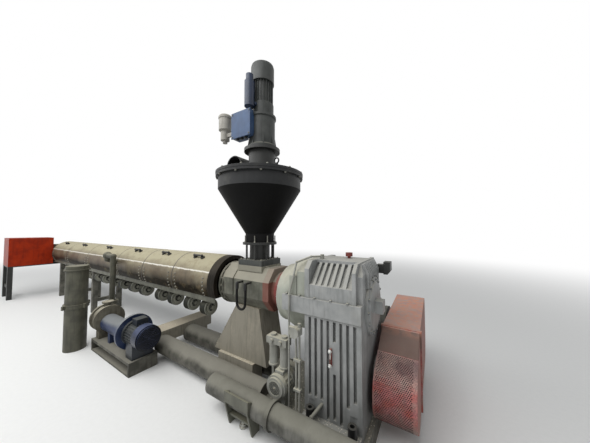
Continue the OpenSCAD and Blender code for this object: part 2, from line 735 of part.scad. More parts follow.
module crammer_brake() {
  x = hopper_x + 2;
  z0 = crammer_z + 412;
  color("#45597c") {
    cz(z0, z0 + 270, x, -184, 52, 32);
    cz(z0 + 270, z0 + 345, x, -184, 38, 32);
    difference() {
      bx(x - 30, x + 50, -150, -90, z0 + 30, z0 + 56);
      cz(z0 + 20, z0 + 90, crammer_x, 0, reducer_r - 16 + gap, 48);
    }
  }
}

// The barrel with its covers, trough and blowers
seam = [0, 0.114, 0.24, 0.383, 0.604, 0.809, 1];
module barrel_covers() {
  color("#a39e8c") for (i = [0 : 6]) difference() {
    // six long covers and the end cap at the head
    if (i < 6) cx(ring_x - barrel_len * seam[i + 1] + 3, ring_x - barrel_len * seam[i] - (i > 0 ? 3 : 0),
      0, axis_z, cover_r, 96);
    else cx(barrel_x - 20, barrel_x, 0, axis_z, cover_r, 96);
    bx(barrel_x - 30, ring_x + 10, -cover_r - 10, cover_r + 10, axis_z - cover_r - 10, cut_z);
    // the barrel runs through
    cx(barrel_x - 30, ring_x + 10, 0, axis_z, core_r + gap, 64);
  }
}
// black bow handles near the top, two feet and an arched grip
handle_angle = 30;
module barrel_handles() {
  color("#1c1c1c") for (i = [0 : 5])
    translate([ring_x - barrel_len * (seam[i] + seam[i + 1]) / 2, 0, axis_z]) rotate([handle_angle, 0, 0]) {
      for (d = [-72, 72]) {
        difference() {
          cz(cover_r - 8, cover_r + 14, d, 0, 26, 24);
          cx(d - 40, d + 40, 0, 0, cover_r + gap, 96);
        }
        cz(cover_r + 14, cover_r + 34, d, 0, 13, 20);
        translate([d, 0, cover_r + 34]) sphere(r = 16, $fn = 20);
      }
      cx(-72, 72, 0, cover_r + 34, 12, 20);
    }
}
module barrel() {
  color("#5f5d58") cx(barrel_x, ring_x, 0, axis_z, core_r, 64);
}
module barrel_start_ring() {
  color("#3c362f") difference() {
    cx(ring_x, throat_x, 0, axis_z, cover_r, 96);
    cx(ring_x + 40, throat_x + 1, 0, axis_z, cover_r - 45, 96);
    bx(ring_x - 1, throat_x + 1, -cover_r, cover_r, axis_z - cover_r - 1, cut_z);
  }
  color("#5f5d58") cx(ring_x + 40, throat_x, 0, axis_z, core_r, 64);
}
module barrel_trough() {
  // a plate with a side skirt along each edge, open below
  color("#5a5a55") difference() {
    bx(barrel_x + 60, throat_x - 33, -trough_half, trough_half, trough_z0, cut_z);
    bx(barrel_x + 50, throat_x - 23, -trough_half + 6, trough_half - 6, trough_z0 - 1, cut_z - 12);
  }
}
// distances of the blower fronts from the start of the barrel
blower_s = [97, 414, 773, 1093, 1554, 1904, 2274, 2644, 3014, 3384, 3754, 4124, 4494, 4864, 5234];
module blowers() {
  z = cut_z - 12 - blower_drop;
  color("#5c5e5a") for (s = blower_s) {
    x = ring_x - s;
    cx(x - blower_w, x, -160, z, blower_r, 32);
    cx(x, x + 8, -160, z, blower_r - 26, 32);
    cx(x + 8, x + 30, -160, z, 22, 24);
    bx(x - blower_w + 10, x - 10, -200, -120, z + 66, cut_z - 12);
  }
}
// distances of the legs from the start of the barrel
leg_s = [3500, 4620, 5600];
module barrel_legs() {
  z = cut_z - 12;
  color("#55544d") for (s = leg_s) {
    x = ring_x - s - 80;
    for (y = [-trough_half + 16, trough_half - 96]) bx(x, x + 80, y, y + 80, 0, z);
    bx(x + 10, x + 70, -trough_half + 90, trough_half - 90, 200, 260);
  }
}

// The head end
module die_head() {
  x0 = barrel_x - 20 - 60;
  x1 = x0 - block_len;
  color("#4f4c46") difference() {
    union() {
      cx(x0, barrel_x - 20, 0, axis_z, 220, 64);
      bx(x1, x0, -240, 240, axis_z - 230, axis_z + 230);
      cx(x1 - die_len, x1, 0, axis_z, die_r, 64);
    }
    for (a = [0 : 45 : 315]) translate([0, die_pcd_r * cos(a), axis_z + die_pcd_r * sin(a)])
      cx(x1 - die_len - 1, x1 - die_len + 30, 0, 0, die_hole_r, 24);
    cx(x1 - die_len - 1, x1 - die_len + 60, 0, axis_z, 70, 48);
  }
}
module head_guard() {
  x0 = barrel_x - 32;
  color("#a52a12") {
    bx(x0 - 640, x0, -987, -974, axis_z - 244, axis_z + 407);
    bx(x0 - 640, x0, -287, -274, axis_z - 244, axis_z + 407);
    bx(x0 - 13, x0, -974, -287, axis_z - 244, axis_z + 407);
    bx(x0 - 640, x0 - 13, -974, -287, axis_z + 394, axis_z + 407);
  }
}
module head_table() {
  x0 = barrel_x - 32;
  color("#3b3a36") {
    bx(x0 - 640, x0, -987, 300, axis_z - 264, axis_z - 244);
    for (x = [x0 - 640, x0 - 80], y = [-987, 220])
      bx(x, x + 80, y, y + 80, 0, axis_z - 264);
    bx(x0 - 560, x0 - 80, -967, -927, 250, 310);
    bx(x0 - 560, x0 - 80, 240, 280, 250, 310);
    bx(x0 - 360, x0 - 120, -100, 100, axis_z - 244, axis_z - 230);
  }
}

// The vacuum unit
module vacuum_tank() {
  color("#6d665a") {
    cz(0, tank_h - 60, tank_x, tank_y, tank_r);
    cz(tank_h - 60, tank_h - 45, tank_x, tank_y, tank_r + 18);
    cz(tank_h - 45, tank_h, tank_x, tank_y, tank_r);
    // clamp ring with four lugs at half height
    cz(tank_h / 2, tank_h / 2 + 50, tank_x, tank_y, tank_r + 16);
    for (a = [20, 110, 200, 290]) translate([tank_x, tank_y, tank_h / 2]) rotate(a)
      bx(tank_r, tank_r + 46, -12, 12, 0, 50);
  }
}
module vent_pipe() {
  zt = axis_z + 190;
  vx = vent_x - 220;
  color("#5d5c54") difference() {
    union() {
      pipe([[vx, -cover_r + 40, zt - 130], [vx, vent_y, zt - 60], [vx, vent_y, zt], [vent_x, vent_y, zt],
        [vent_x, vent_y, pump_z], [vent_x, pump_y, pump_z], [vent_x + 263, pump_y, pump_z]], vent_r);
      // dusty dome over the vent
      translate([vx, vent_y, zt]) sphere(r = vent_r + 22, $fn = 32);
      cz(490, 518, vent_x, vent_y, vent_r + 45, 40);
      cz(460, 485, vent_x, vent_y, vent_r + 45, 40);
    }
    cx(vx - 200, vx + 200, 0, axis_z, cover_r + gap, 96);
  }
}
module vacuum_pump() {
  color("#6c675b") {
    cx(vent_x + 263, vent_x + 300, pump_y, pump_z, pump_r - 30);
    cx(vent_x + 300, vent_x + 330, pump_y, pump_z, pump_r + 22);
    cx(vent_x + 330, vent_x + 432, pump_y, pump_z, pump_r);
    cx(vent_x + 432, vent_x + 460, pump_y, pump_z, pump_r + 22);
    bx(vent_x + 350, vent_x + 442, pump_y - 110, pump_y + 110, 150, pump_z);
    // gas port on top
    cz(pump_z + 100, pump_z + 205, vent_x + 380, pump_y, 40, 32);
    cz(pump_z + 205, pump_z + 223, vent_x + 380, pump_y, 66, 32);
  }
}
module pump_motor() {
  color("#3b4358") {
    // smooth housing between pump and motor, a little below the motor shaft
    cx(vent_x + 460, pump_x1 - 369, pump_y, pump_z - 45, pump_r - 48);
    cx(pump_x1 - 480, pump_x1 - 450, pump_y, pump_z - 45, pump_r - 28);
    bx(vent_x + 640, vent_x + 700, pump_y - 80, pump_y + 80, 150, pump_z - 100);
    cx(pump_x1 - 370, pump_x1 - 335, pump_y, pump_z, pump_motor_r + 66);
    cx(pump_x1 - 335, pump_x1 - 300, pump_y, pump_z, pump_motor_r + 12);
    cx(pump_x1 - 300, pump_x1 - 120, pump_y, pump_z, pump_motor_r - 10);
    // cooling ribs along the motor
    for (a = [0 : 12 : 348]) translate([0, pump_y, pump_z]) rotate([a, 0, 0])
      bx(pump_x1 - 300, pump_x1 - 120, pump_motor_r - 14, pump_motor_r + 2, -2.5, 2.5);
    bx(pump_x1 - 290, pump_x1 - 140, pump_y - 110, pump_y + 110, 150, pump_z - 60);
    bx(pump_x1 - 270, pump_x1 - 160, pump_y - 60, pump_y + 60, pump_z + 110, pump_z + 185);
  }
}
module pump_fan_cover() {
  color("#10131d") {
    cx(pump_x1 - 120, pump_x1 - 14, pump_y, pump_z, pump_motor_r + 5);
    cx(pump_x1 - 14, pump_x1, pump_y, pump_z, pump_motor_r - 8);
  }
}
module pump_base() {
  color("#55534a") difference() {
    bx(vent_x + 320, pump_x1 - 110, pump_y - 150, pump_y + 150, 0, 150);
    bx(vent_x + 350, pump_x1 - 140, pump_y - 151, pump_y + 151, 20, 120);
  }
}

base_tubes();
base_tube_near();
cross_beam();
gearbox_plinth();
foot_brackets();
levelling_screws();
gearbox_foot();
gearbox_foot_bolts();
gearbox_lower_housing();
gearbox_split_flange();
gearbox_upper_housing();
gearbox_thrust_housing();
thrust_housing_shell();
gearbox_rear_cover();
rear_top_box();
input_bearing_cover();
oil_level_gauge();
breather_cap();
oil_pump_motor();
oil_pump();
oil_filters();
oil_pipe();
oil_distributor();
drain_valve();
belt_guard_front();
belt_guard_rear();
drive_motor();
motor_stand();
feed_throat();
coupling_cover();
throat_water_hose();
hose_fittings();
throat_pedestal();
hopper_square_flange();
hopper_spool();
hopper_cone();
hopper_drum();
hopper_lid();
crammer_gear_drum();
crammer_reducer();
crammer_motor();
crammer_terminal_box();
crammer_filter();
crammer_brake();
barrel_covers();
barrel_handles();
barrel();
barrel_start_ring();
barrel_trough();
blowers();
barrel_legs();
die_head();
head_guard();
head_table();
vacuum_tank();
vent_pipe();
vacuum_pump();
pump_motor();
pump_fan_cover();
pump_base();
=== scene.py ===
# %% [markdown]
# # A plastic extruder for a recycling line
#
# The machine melts plastic flakes. They fall from the black hopper into the
# feed throat, a screw inside the long covered barrel carries them to the left,
# and heaters melt them on the way. A big gearbox at the right turns the screw.
# The solids come from CAD, so this notebook gives them their surfaces, adds
# the small parts that a maker would buy in a box, and sets up the picture.

# %% Load the frame
import math

import bmesh
import bpy
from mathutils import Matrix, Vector


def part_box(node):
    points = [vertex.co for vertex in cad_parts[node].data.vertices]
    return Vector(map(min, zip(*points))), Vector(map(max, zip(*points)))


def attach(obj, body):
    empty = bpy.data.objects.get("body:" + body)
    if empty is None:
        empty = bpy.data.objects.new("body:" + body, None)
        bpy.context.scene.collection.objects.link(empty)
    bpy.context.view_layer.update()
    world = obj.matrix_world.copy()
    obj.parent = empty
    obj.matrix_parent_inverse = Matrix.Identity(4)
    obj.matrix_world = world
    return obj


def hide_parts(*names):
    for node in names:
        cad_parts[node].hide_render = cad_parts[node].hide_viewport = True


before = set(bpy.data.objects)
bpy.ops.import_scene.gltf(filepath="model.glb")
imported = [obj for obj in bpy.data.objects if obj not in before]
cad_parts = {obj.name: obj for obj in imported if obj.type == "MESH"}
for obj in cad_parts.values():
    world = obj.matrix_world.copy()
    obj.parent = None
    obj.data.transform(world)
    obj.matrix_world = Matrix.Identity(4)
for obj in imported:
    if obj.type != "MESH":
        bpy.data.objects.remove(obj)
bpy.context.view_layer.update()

# %% [markdown]
# ## The camera
#
# The photograph was taken with a very wide lens, about 14 mm, from eye height
# and less than two metres in front of the gearbox. Such a lens stretches what
# is near the picture's edges. The place, the turn and the tilt were worked out
# from the lines that run along and across the machine, which meet at two
# points on the horizon. Sensor and focal length set the angle of view.

# %% The camera
cam_data = bpy.data.cameras.new("photo_camera")
cam_data.sensor_width = 36.0
photo_width, focal_length = 590.0, 224.0  # both in pixels of the photograph
cam_data.lens = focal_length / photo_width * 36.0
cam_data.clip_start, cam_data.clip_end = 0.02, 200.0
camera = bpy.data.objects.new("photo_camera", cam_data)
bpy.context.scene.collection.objects.link(camera)
turn, tilt = math.radians(31.9), math.radians(2.17)
look = Vector((-math.sin(turn) * math.cos(tilt), math.cos(turn) * math.cos(tilt), math.sin(tilt)))
camera.location = (0.668, -1.890, 1.600)
camera.rotation_mode = "QUATERNION"
camera.rotation_quaternion = look.to_track_quat("-Z", "Y")
bpy.context.scene.camera = camera
print("lens", round(cam_data.lens, 2), "mm, eye height", camera.location.z, "m")

# %% [markdown]
# ## The water hose at the feed throat
#
# The feed throat is cooled with water, so that the flakes don't melt too soon.
# A short black hose joins two of its chambers in one hanging loop. A hose is a
# fixed length of something that bends, so it is a curve with a round profile:
# two nearly straight runs, which bulge a little under the stiffness of the
# rubber, and a half turn of 11 cm at the bottom. It ends in two sockets.

# %% The water hose
hose_x, hose_y, hose_top, hose_bend, hose_turn = -0.949, -0.290, 1.058, 0.883, 0.055
hose_route = []
for k in range(9):
    t = k / 9
    bulge = 0.004 * (1 - math.cos(2 * math.pi * t)) / 2
    hose_route.append((hose_x - hose_turn - bulge, hose_y, hose_top + (hose_bend - hose_top) * t))
for k in range(13):
    a = math.pi * k / 12
    hose_route.append((hose_x - hose_turn * math.cos(a), hose_y, hose_bend - hose_turn * math.sin(a)))
for k in range(8, -1, -1):
    x, y, z = hose_route[k]
    hose_route.append((2 * hose_x - x, y, z))

hose_curve = bpy.data.curves.new("throat_hose", "CURVE")
hose_curve.dimensions = "3D"
hose_curve.bevel_depth, hose_curve.bevel_resolution, hose_curve.use_fill_caps = 1.0, 5, True
line = hose_curve.splines.new("POLY")
line.points.add(len(hose_route) - 1)
line.points.foreach_set("co", [c for p in hose_route for c in (*p, 1.0)])
# the points carry the hose's radius, because Blender adds it to the curve's box
line.points.foreach_set("radius", [0.012] * len(hose_route))
line.use_smooth = True
throat_hose = bpy.data.objects.new("throat_hose", hose_curve)
bpy.context.scene.collection.objects.link(throat_hose)
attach(throat_hose, "root")
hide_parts("throat_water_hose")

# %% [markdown]
# ## Helpers for nodes and colours
#
# Every light, finish and repeated part below is a small network of nodes. One
# function adds a node, makes its settings and links what goes into it. Where it
# is given a node it takes that node's first output, and a list goes into a
# socket that takes several links. Colours are written as they look on a
# screen, as hex values. The renderer counts in linear light, so one more
# function turns them over.

# %% Node and colour helpers
def linear(code):
    parts = [int(code[i:i + 2], 16) / 255 for i in (1, 3, 5)]
    return tuple(p / 12.92 if p <= 0.04045 else ((p + 0.055) / 1.055) ** 2.4 for p in parts) + (1.0,)


def add(tree, kind, inputs=None, **settings):
    made = tree.nodes.new(kind)
    for key, value in settings.items():
        setattr(made, key, value)
    for key, given in (inputs or {}).items():
        for value in given if isinstance(given, list) else [given]:
            if isinstance(value, bpy.types.Node):
                value = value.outputs[0]
            if isinstance(value, bpy.types.NodeSocket):
                tree.links.new(value, made.inputs[key])
            else:
                made.inputs[key].default_value = value
    return made


def camera_or_mirror(tree):
    """1 where the camera looks at something straight, in a mirror or through glass, and 0 for other light."""
    rays = add(tree, "ShaderNodeLightPath").outputs
    mirrored = add(tree, "ShaderNodeMath", {0: rays["Is Glossy Ray"], 1: rays["Is Transmission Ray"]},
                   operation="MAXIMUM")
    return add(tree, "ShaderNodeMath", {0: rays["Is Camera Ray"], 1: mirrored}, operation="MAXIMUM")


print("helpers ready, mid grey is", [round(v, 3) for v in linear("#808080")])

# %% [markdown]
# ## Helpers for pieces
#
# A piece is an object that belongs to the machine. It is linked into the
# scene, rides on the machine's one body and gets the slot of its material.

# %% Helpers for pieces
def link_object(name, data):
    made = bpy.data.objects.new(name, data)
    bpy.context.scene.collection.objects.link(made)
    return made


def link_piece(name, mesh):
    piece = link_object(name, mesh)
    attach(piece, "root")
    return piece


def mesh_piece(name, shape, material, smooth=False):
    """Ends a mesh that was made face by face, with its faces turned outward."""
    bmesh.ops.recalc_face_normals(shape, faces=shape.faces)
    mesh = bpy.data.meshes.new(name)
    shape.to_mesh(mesh)
    shape.free()
    mesh.materials.append(material)
    for polygon in mesh.polygons:
        polygon.use_smooth = smooth
    return link_piece(name, mesh)


def new_material(name):
    made = bpy.data.materials.new(name)
    made.use_nodes = True
    made.node_tree.nodes.clear()
    return made, made.node_tree


# %% [markdown]
# ## Floor and light
#
# A studio gives the same soft light from everywhere, with a little more from
# above, so that ribs and grooves still throw a shade. One even world and three
# large lamps do that. The world shows white where the camera, a mirror or a
# glass looks at it, and a milder grey to everything that it lights.

# %% Floor and light
world = bpy.data.worlds.new("studio")
bpy.context.scene.world = world
world.use_nodes = True
sky = world.node_tree
sky.nodes.clear()
lit = add(sky, "ShaderNodeBackground", {"Color": (0.95, 0.975, 1.0, 1.0), "Strength": 0.38})
seen = add(sky, "ShaderNodeBackground", {"Color": (1.0, 1.0, 1.0, 1.0), "Strength": 1.0})
either = add(sky, "ShaderNodeMixShader", {0: camera_or_mirror(sky), 1: lit, 2: seen})
add(sky, "ShaderNodeOutputWorld", {"Surface": either})


def soft_lamp(name, place, aim, size, watts):
    data = bpy.data.lights.new(name, "AREA")
    data.shape, data.size, data.energy = "SQUARE", size, watts
    lamp = link_object(name, data)
    lamp.location = place
    lamp.rotation_mode = "QUATERNION"
    lamp.rotation_quaternion = (Vector(aim) - Vector(place)).to_track_quat("-Z", "Y")


soft_lamp("roof_light_right", (-0.4, -3.6, 6.0), (-0.4, 0, 1), size=3.5, watts=147)
soft_lamp("roof_light_middle", (-3.5, -3.0, 5.5), (-3.5, 0, 1), size=4.0, watts=155)
soft_lamp("roof_light_left", (-8.0, -2.5, 5.5), (-7.0, 0, 1), size=4.0, watts=132)

floor_mesh = bpy.data.meshes.new("studio_floor")
floor_half = 60
floor_mesh.from_pydata([(-floor_half, -floor_half, 0), (floor_half, -floor_half, 0), (floor_half, floor_half, 0),
                        (-floor_half, floor_half, 0)], [], [(0, 1, 2, 3)])
floor = link_object("studio_floor", floor_mesh)
print("world and three lamps")

# %% [markdown]
# ## Workshop dirt
#
# Nothing on this machine is clean. Pale plastic dust lies on every face that
# looks up, and dark greasy streaks run down the upright ones. Both follow from
# the way a face points, so one group of nodes finds them for every finish: it
# reads the normal for the dust, and a noise that is stretched upright for the
# streaks. The sizes are real: dust drifts of about 20 cm, streaks 3 cm wide.

# %% Dust, grime, corners and edges
def dirt_masks(tree, dustiness, grime, drift_m=0.2, streak_m=0.03):
    where = add(tree, "ShaderNodeTexCoord").outputs["Object"]
    normal = add(tree, "ShaderNodeNewGeometry").outputs["Normal"]
    facing_up = add(tree, "ShaderNodeSeparateXYZ", {0: normal}).outputs[2]
    up = add(tree, "ShaderNodeMapRange", {"Value": facing_up, "From Min": 0.15, "From Max": 0.95, "To Max": 0.75},
             interpolation_type="SMOOTHSTEP")
    drifts = add(tree, "ShaderNodeTexNoise", {"Vector": where, "Scale": 1 / drift_m, "Detail": 6.0, "Roughness": 0.62})
    both = add(tree, "ShaderNodeMath", {0: up, 1: drifts}, operation="ADD")
    dust = add(tree, "ShaderNodeMapRange", {"Value": both, "From Min": 0.55, "From Max": 1.1, "To Max": dustiness})
    tall = add(tree, "ShaderNodeMapping", {"Vector": where, "Scale": (1.0, 1.0, 0.12)})
    runs = add(tree, "ShaderNodeTexNoise", {"Vector": tall, "Scale": 1 / streak_m, "Detail": 4.0, "Roughness": 0.6})
    dark = add(tree, "ShaderNodeMapRange", {"Value": runs, "From Min": 0.48, "From Max": 0.78, "To Max": grime})
    return where, dust, dark


def corners_and_edges(tree, corner_shade, edge_wear, reach_m=0.09, radius_m=0.005):
    """Masks for painted shade in corners, and for the edges that are worn bare."""
    open_air = add(tree, "ShaderNodeAmbientOcclusion", {"Distance": reach_m}, samples=6).outputs["AO"]
    corners = add(tree, "ShaderNodeMapRange", {"Value": open_air, "From Min": 0.3, "From Max": 0.8,
                                               "To Min": corner_shade, "To Max": 0.0})
    rounded = add(tree, "ShaderNodeBevel", {"Radius": radius_m}, samples=4)
    flat = add(tree, "ShaderNodeNewGeometry").outputs["True Normal"]
    same = add(tree, "ShaderNodeVectorMath", {0: rounded, 1: flat}, operation="DOT_PRODUCT").outputs["Value"]
    edges = add(tree, "ShaderNodeMapRange", {"Value": same, "From Min": 0.85, "From Max": 0.99,
                                             "To Min": edge_wear, "To Max": 0.0})
    return corners, edges


print("masks for dust, streaks, corners and edges")

# %% [markdown]
# ## Zones and coats
#
# Sun, hands and oil change a paint over one stretch of a piece: the belt guard
# is pink above and brown below. Such a stretch could be a piece of its own with
# another material, but then the border would be a hard line. A mask from the
# height or the length can fade out instead, and it can break up into specks.
# The colours then go on as a painter lays them, one coat over the other, each
# as thick as its mask says.

# %% Zones and coats
def zone_mask(tree, where, axis, start, end, amount, speckle_m):
    """One stretch along an axis, all over it, or in specks that fade out at its ends."""
    along = add(tree, "ShaderNodeSeparateXYZ", {0: where}).outputs[axis]
    fade = 0.04 if speckle_m else 0.0002
    mask = add(tree, "ShaderNodeMapRange", {"Value": along, "From Min": start - fade, "From Max": start + fade,
                                            "To Max": amount})
    limits = [add(tree, "ShaderNodeMapRange", {"Value": along, "From Min": end + fade, "From Max": end - fade})]
    if speckle_m:
        specks = add(tree, "ShaderNodeTexNoise", {"Vector": where, "Scale": 1 / speckle_m})
        limits.append(add(tree, "ShaderNodeMapRange", {"Value": specks, "From Min": 0.42, "From Max": 0.56}))
    for limit in limits:
        mask = add(tree, "ShaderNodeMath", {0: mask, 1: limit}, operation="MULTIPLY")
    return mask


def facing_x_mask(tree, amount):
    """The faces that look along x, at the right end of a piece."""
    normal = add(tree, "ShaderNodeNewGeometry").outputs["Normal"]
    facing_x = add(tree, "ShaderNodeSeparateXYZ", {0: normal}).outputs[0]
    faces = add(tree, "ShaderNodeMath", {0: facing_x, 1: 0.8}, operation="GREATER_THAN")
    return add(tree, "ShaderNodeMath", {0: faces, 1: amount}, operation="MULTIPLY")


def coats(tree, colour, layers):
    for mask, laid_on in layers:
        colour = add(tree, "ShaderNodeMix", {0: mask, 6: colour, 7: linear(laid_on)}, data_type="RGBA").outputs[2]
    return colour


print("masks for zones, and a way to lay coats")

# %% [markdown]
# ## One recipe for every paint
#
# All painted, cast and plated surfaces share one recipe. It starts from the
# paint, lays the grime and then the dust over it, and adds what a piece needs:
# painted shade in corners, edges rubbed bare, a splash zone near the floor, or a
# stretch with a colour of its own. A material for each piece, made by hand,
# would drift apart from the others, while one recipe keeps the same dirt on the
# whole machine. All edges look broken by 4 mm.

# %% One recipe for every paint
def worn_paint(name, paint, dust_colour="#b5ad99", grime_colour="#3d3a34", dustiness=0.75, grime=0.45,
               gloss=0.45, grain_mm=4.0, relief_mm=0.25, metallic=0.0, second=None, patch_m=0.12, zones=(), front=None,
               splash_m=None, shine=0.4, corner_shade=0.0, edge_wear=0.0, edge_colour="#b4b7b6"):
    made, tree = new_material(name)
    where, dust, dark = dirt_masks(tree, dustiness, grime)
    layers = []
    if second:
        # the sun and the cleaning rag leave lighter and darker fields in the paint
        fields = add(tree, "ShaderNodeTexNoise", {"Vector": where, "Scale": 1 / patch_m, "Detail": 5.0})
        layers.append((add(tree, "ShaderNodeMapRange", {"Value": fields, "From Min": 0.38, "From Max": 0.62}), second))
    layers += [(dark, grime_colour), (dust, dust_colour)]
    # painted shade in the corners, laid in the grime colour, and pale edges rubbed bare
    if corner_shade:
        corners, edges = corners_and_edges(tree, corner_shade, edge_wear)
        layers += [(edges, edge_colour), (corners, grime_colour)]
    if splash_m:
        # oily floor water splashes up to this height
        height = add(tree, "ShaderNodeSeparateXYZ", {0: where}).outputs[2]
        splash = add(tree, "ShaderNodeMapRange", {"Value": height, "From Max": splash_m, "To Min": 0.6, "To Max": 0.0})
        layers.append((splash, grime_colour))
    for axis, start, end, zone_colour, amount, speckle_m in zones:
        layers.append((zone_mask(tree, where, axis, start, end, amount, speckle_m), zone_colour))
    # a colour for the faces that look along x: painted shade on the belt guard, wear with painted light on the blowers,
    # the fan cover's own black front
    if front:
        layers.append((facing_x_mask(tree, 0.8), front))
    rough = add(tree, "ShaderNodeMapRange", {"Value": dust, "To Min": gloss, "To Max": 0.95})
    grain = add(tree, "ShaderNodeTexNoise", {"Vector": where, "Scale": 1000 / grain_mm, "Detail": 3.0})
    broken_edges = add(tree, "ShaderNodeBevel", {"Radius": 0.004}, samples=4)
    bump = add(tree, "ShaderNodeBump", {"Height": grain, "Strength": 0.5, "Distance": relief_mm / 1000,
                                        "Normal": broken_edges})
    shader = add(tree, "ShaderNodeBsdfPrincipled", {
        "Base Color": coats(tree, linear(paint), layers), "Metallic": metallic, "Roughness": rough,
        "Specular IOR Level": shine, "Normal": bump})
    add(tree, "ShaderNodeOutputMaterial", {"Surface": shader})
    return made


print("one recipe for paint, castings and plating")

# %% [markdown]
# ## Gearbox and base
#
# Cast iron keeps the grain of the sand mould under its paint, so the castings
# get a coarse grain. A real grain of sand is under a millimetre and would not
# show in the picture, so the grain is drawn 4 to 6 mm wide. The tubes of the
# base are rolled and smoother, and boots wipe the dust off them in patches of a
# foot's width. Both come from the one recipe, with other sizes.

# %% Gearbox and base
# brushed enamel over sand-cast iron: cool grey, coarse grain, edges rubbed pale, foot oily, painted shade in corners
gearbox_enamel = worn_paint("gearbox_enamel_on_cast_iron", "#9e9f9e", second="#8c8e8d", dust_colour="#b0aea5",
                            grime_colour="#3d3d38", dustiness=0.75, grime=0.4, gloss=0.42, grain_mm=5, relief_mm=0.5,
                            splash_m=0.8, corner_shade=0.12, edge_wear=0.6, edge_colour="#b9bab6")
# the same kind of enamel on a casting with deep ribs: a warmer, green grey with painted shade between the ribs
thrust_enamel = worn_paint("green_grey_enamel_on_cast_iron", "#a4a79c", second="#979a8f", dust_colour="#bdb9a8",
                           grime_colour="#54534b", dustiness=0.7, grime=0.35, gloss=0.5, grain_mm=5, relief_mm=0.6,
                           corner_shade=0.6, edge_wear=0.4, edge_colour="#c3c6be")
# rolled steel tube, painted and trodden on: dark fields where the dust has been wiped off
tube_paint = worn_paint("dusty_tube_paint", "#646259", second="#3d3c35", dust_colour="#88857a", grime=0.6,
                        grime_colour="#2a2923", dustiness=0.8, gloss=0.65, patch_m=0.13)
# the same where oil has soaked the dust: darker, with painted shade along its corners
near_tube_paint = worn_paint("oily_tube_paint", "#696862", second="#484741", dust_colour="#8a887c", grime=0.6,
                             grime_colour="#23221e", dustiness=0.7, gloss=0.6, patch_m=0.11, shine=0.3, corner_shade=0.6,
                             edge_wear=0.3, edge_colour="#85826f")
# a painted beam under so much dust that little of its own colour shows
beam_paint = worn_paint("beam_paint_under_dust", "#8d887b", dust_colour="#b9af9b", dustiness=0.95, gloss=0.7)
print("materials so far:", len(bpy.data.materials))

# %% [markdown]
# ## The red paints
#
# What mustn't be touched while it turns is red. The red of the belt guard faded
# in patches, which a single colour can't show. They are its zones: each gives
# an axis (0 is the length, 2 is the height), a start, an end, a colour, how
# much of it, and how large its specks are. The guard at the die head was
# painted later and has kept its colour.

# %% The red paints
# sprayed sheet steel, bleached by light: pink above and brown with grime below, in soft patches
guard_paint = worn_paint("faded_guard_paint", "#b55e55", second="#ab827a", dust_colour="#c2aea3", dustiness=0.62,
                         grime_colour="#4a3b35", grime=0.45, gloss=0.55, patch_m=0.07, splash_m=0.3,
                         zones=[(2, 0.24, 0.52, "#bb7476", 0.5, 0.06), (2, 0.53, 0.70, "#5d4146", 0.6, 0.2),
                                (2, 0.22, 0.66, "#543a3d", 0.42, 0.008), (2, 0.0, 0.29, "#87776c", 0.8, 0.08),
                                (2, 0.645, 0.765, "#6f5c53", 0.85, 0),
                                (2, 0.767, 1.4, "#c9a08c", 0.5, 0.09), (2, 0.767, 1.4, "#dd8f6c", 0.45, 0.05)],
                         # its faces that look along x are painted darker as shade
                         front="#7a4637")
# a brushed red coat, dulled by dust
cover_red = worn_paint("dull_red_paint", "#7d3a34", second="#6c3029", dust_colour="#9a7468", dustiness=0.6)
# sprayed red enamel, newer than the rest and still strong in colour
head_red = worn_paint("orange_red_paint", "#9c2a05", second="#842004", dust_colour="#a85f49", dustiness=0.22,
                      grime_colour="#4a160a", gloss=0.4, shine=0.2)
print("reds:", [m.name for m in (guard_paint, cover_red, head_red)])

# %% [markdown]
# ## Black, grey and blue
#
# Hopper, crammer and pumps are bought ready painted, each in its maker's
# colour. Dark paint shows its highlights more than its colour, so the recipe's
# `shine` and `gloss` matter most here: nearly none on the black cone, and a
# wet look on the cover of the pump's fan.

# %% Black, grey and blue
# black paint on sheet steel, almost without a sheen
hopper_black = worn_paint("black_hopper_paint", "#050505", second="#030303", dust_colour="#30302d", dustiness=0.3,
                          grime_colour="#0c0c0c", grime=0.35, gloss=0.6, relief_mm=0.1, shine=0.15)
# the same black, greyed by settled dust
lid_black = worn_paint("black_drum_paint", "#232425", second="#1a1b1c", dust_colour="#6c6b64", dustiness=0.55,
                       grime_colour="#101011", grime=0.45, gloss=0.5, shine=0.3)
# grey sprayed on castings and motors, dim under oily dust
drum_grey = worn_paint("dark_grey_paint", "#484a48", second="#3a3c3a", dust_colour="#77766c", dustiness=0.6,
                       grime_colour="#1f201e", grime=0.5, shine=0.25)
# dark machine paint on sheet and castings, with hardly a highlight
dark_steel = worn_paint("dark_machine_paint", "#2c2d2b", second="#222321", dust_colour="#5a5952", dustiness=0.65,
                        grime_colour="#171716", grime=0.5)
# blue enamel on pressed steel: the cleanest colour of the machine, with a soft highlight
blue_paint = worn_paint("blue_enamel", "#385275", second="#304768", dust_colour="#6d7886", dustiness=0.4,
                        grime_colour="#243048", grime=0.4, gloss=0.4, shine=0.3)
# a darker blue enamel, greasy and streaked
brake_blue = worn_paint("dark_blue_brake_enamel", "#26334b", second="#1e293d", dust_colour="#6b6e6a", dustiness=0.5,
                        grime_colour="#121824", grime=0.5, gloss=0.4)
# glossy navy enamel on a cast motor, worn to a dull olive over one stretch of its body
motor_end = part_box("pump_fan_cover")[1].x
navy_paint = worn_paint("navy_motor_enamel", "#1f2a44", second="#2b3857", dust_colour="#8d8f8c", dustiness=0.75,
                        grime_colour="#0d0f16", grime=0.4, gloss=0.3,
                        zones=[(0, motor_end - 0.334, motor_end - 0.118, "#2c2e2a", 0.78, 0)])
# a fan cover pressed from sheet: a smooth, shiny black blue with a black front
black_navy = worn_paint("black_blue_fan_cover", "#131c33", second="#1b2542", dust_colour="#4a5472", dustiness=0.5,
                        grime_colour="#0a0e1a", grime=0.4, gloss=0.25, front="#07090c")
print("materials so far:", len(bpy.data.materials))

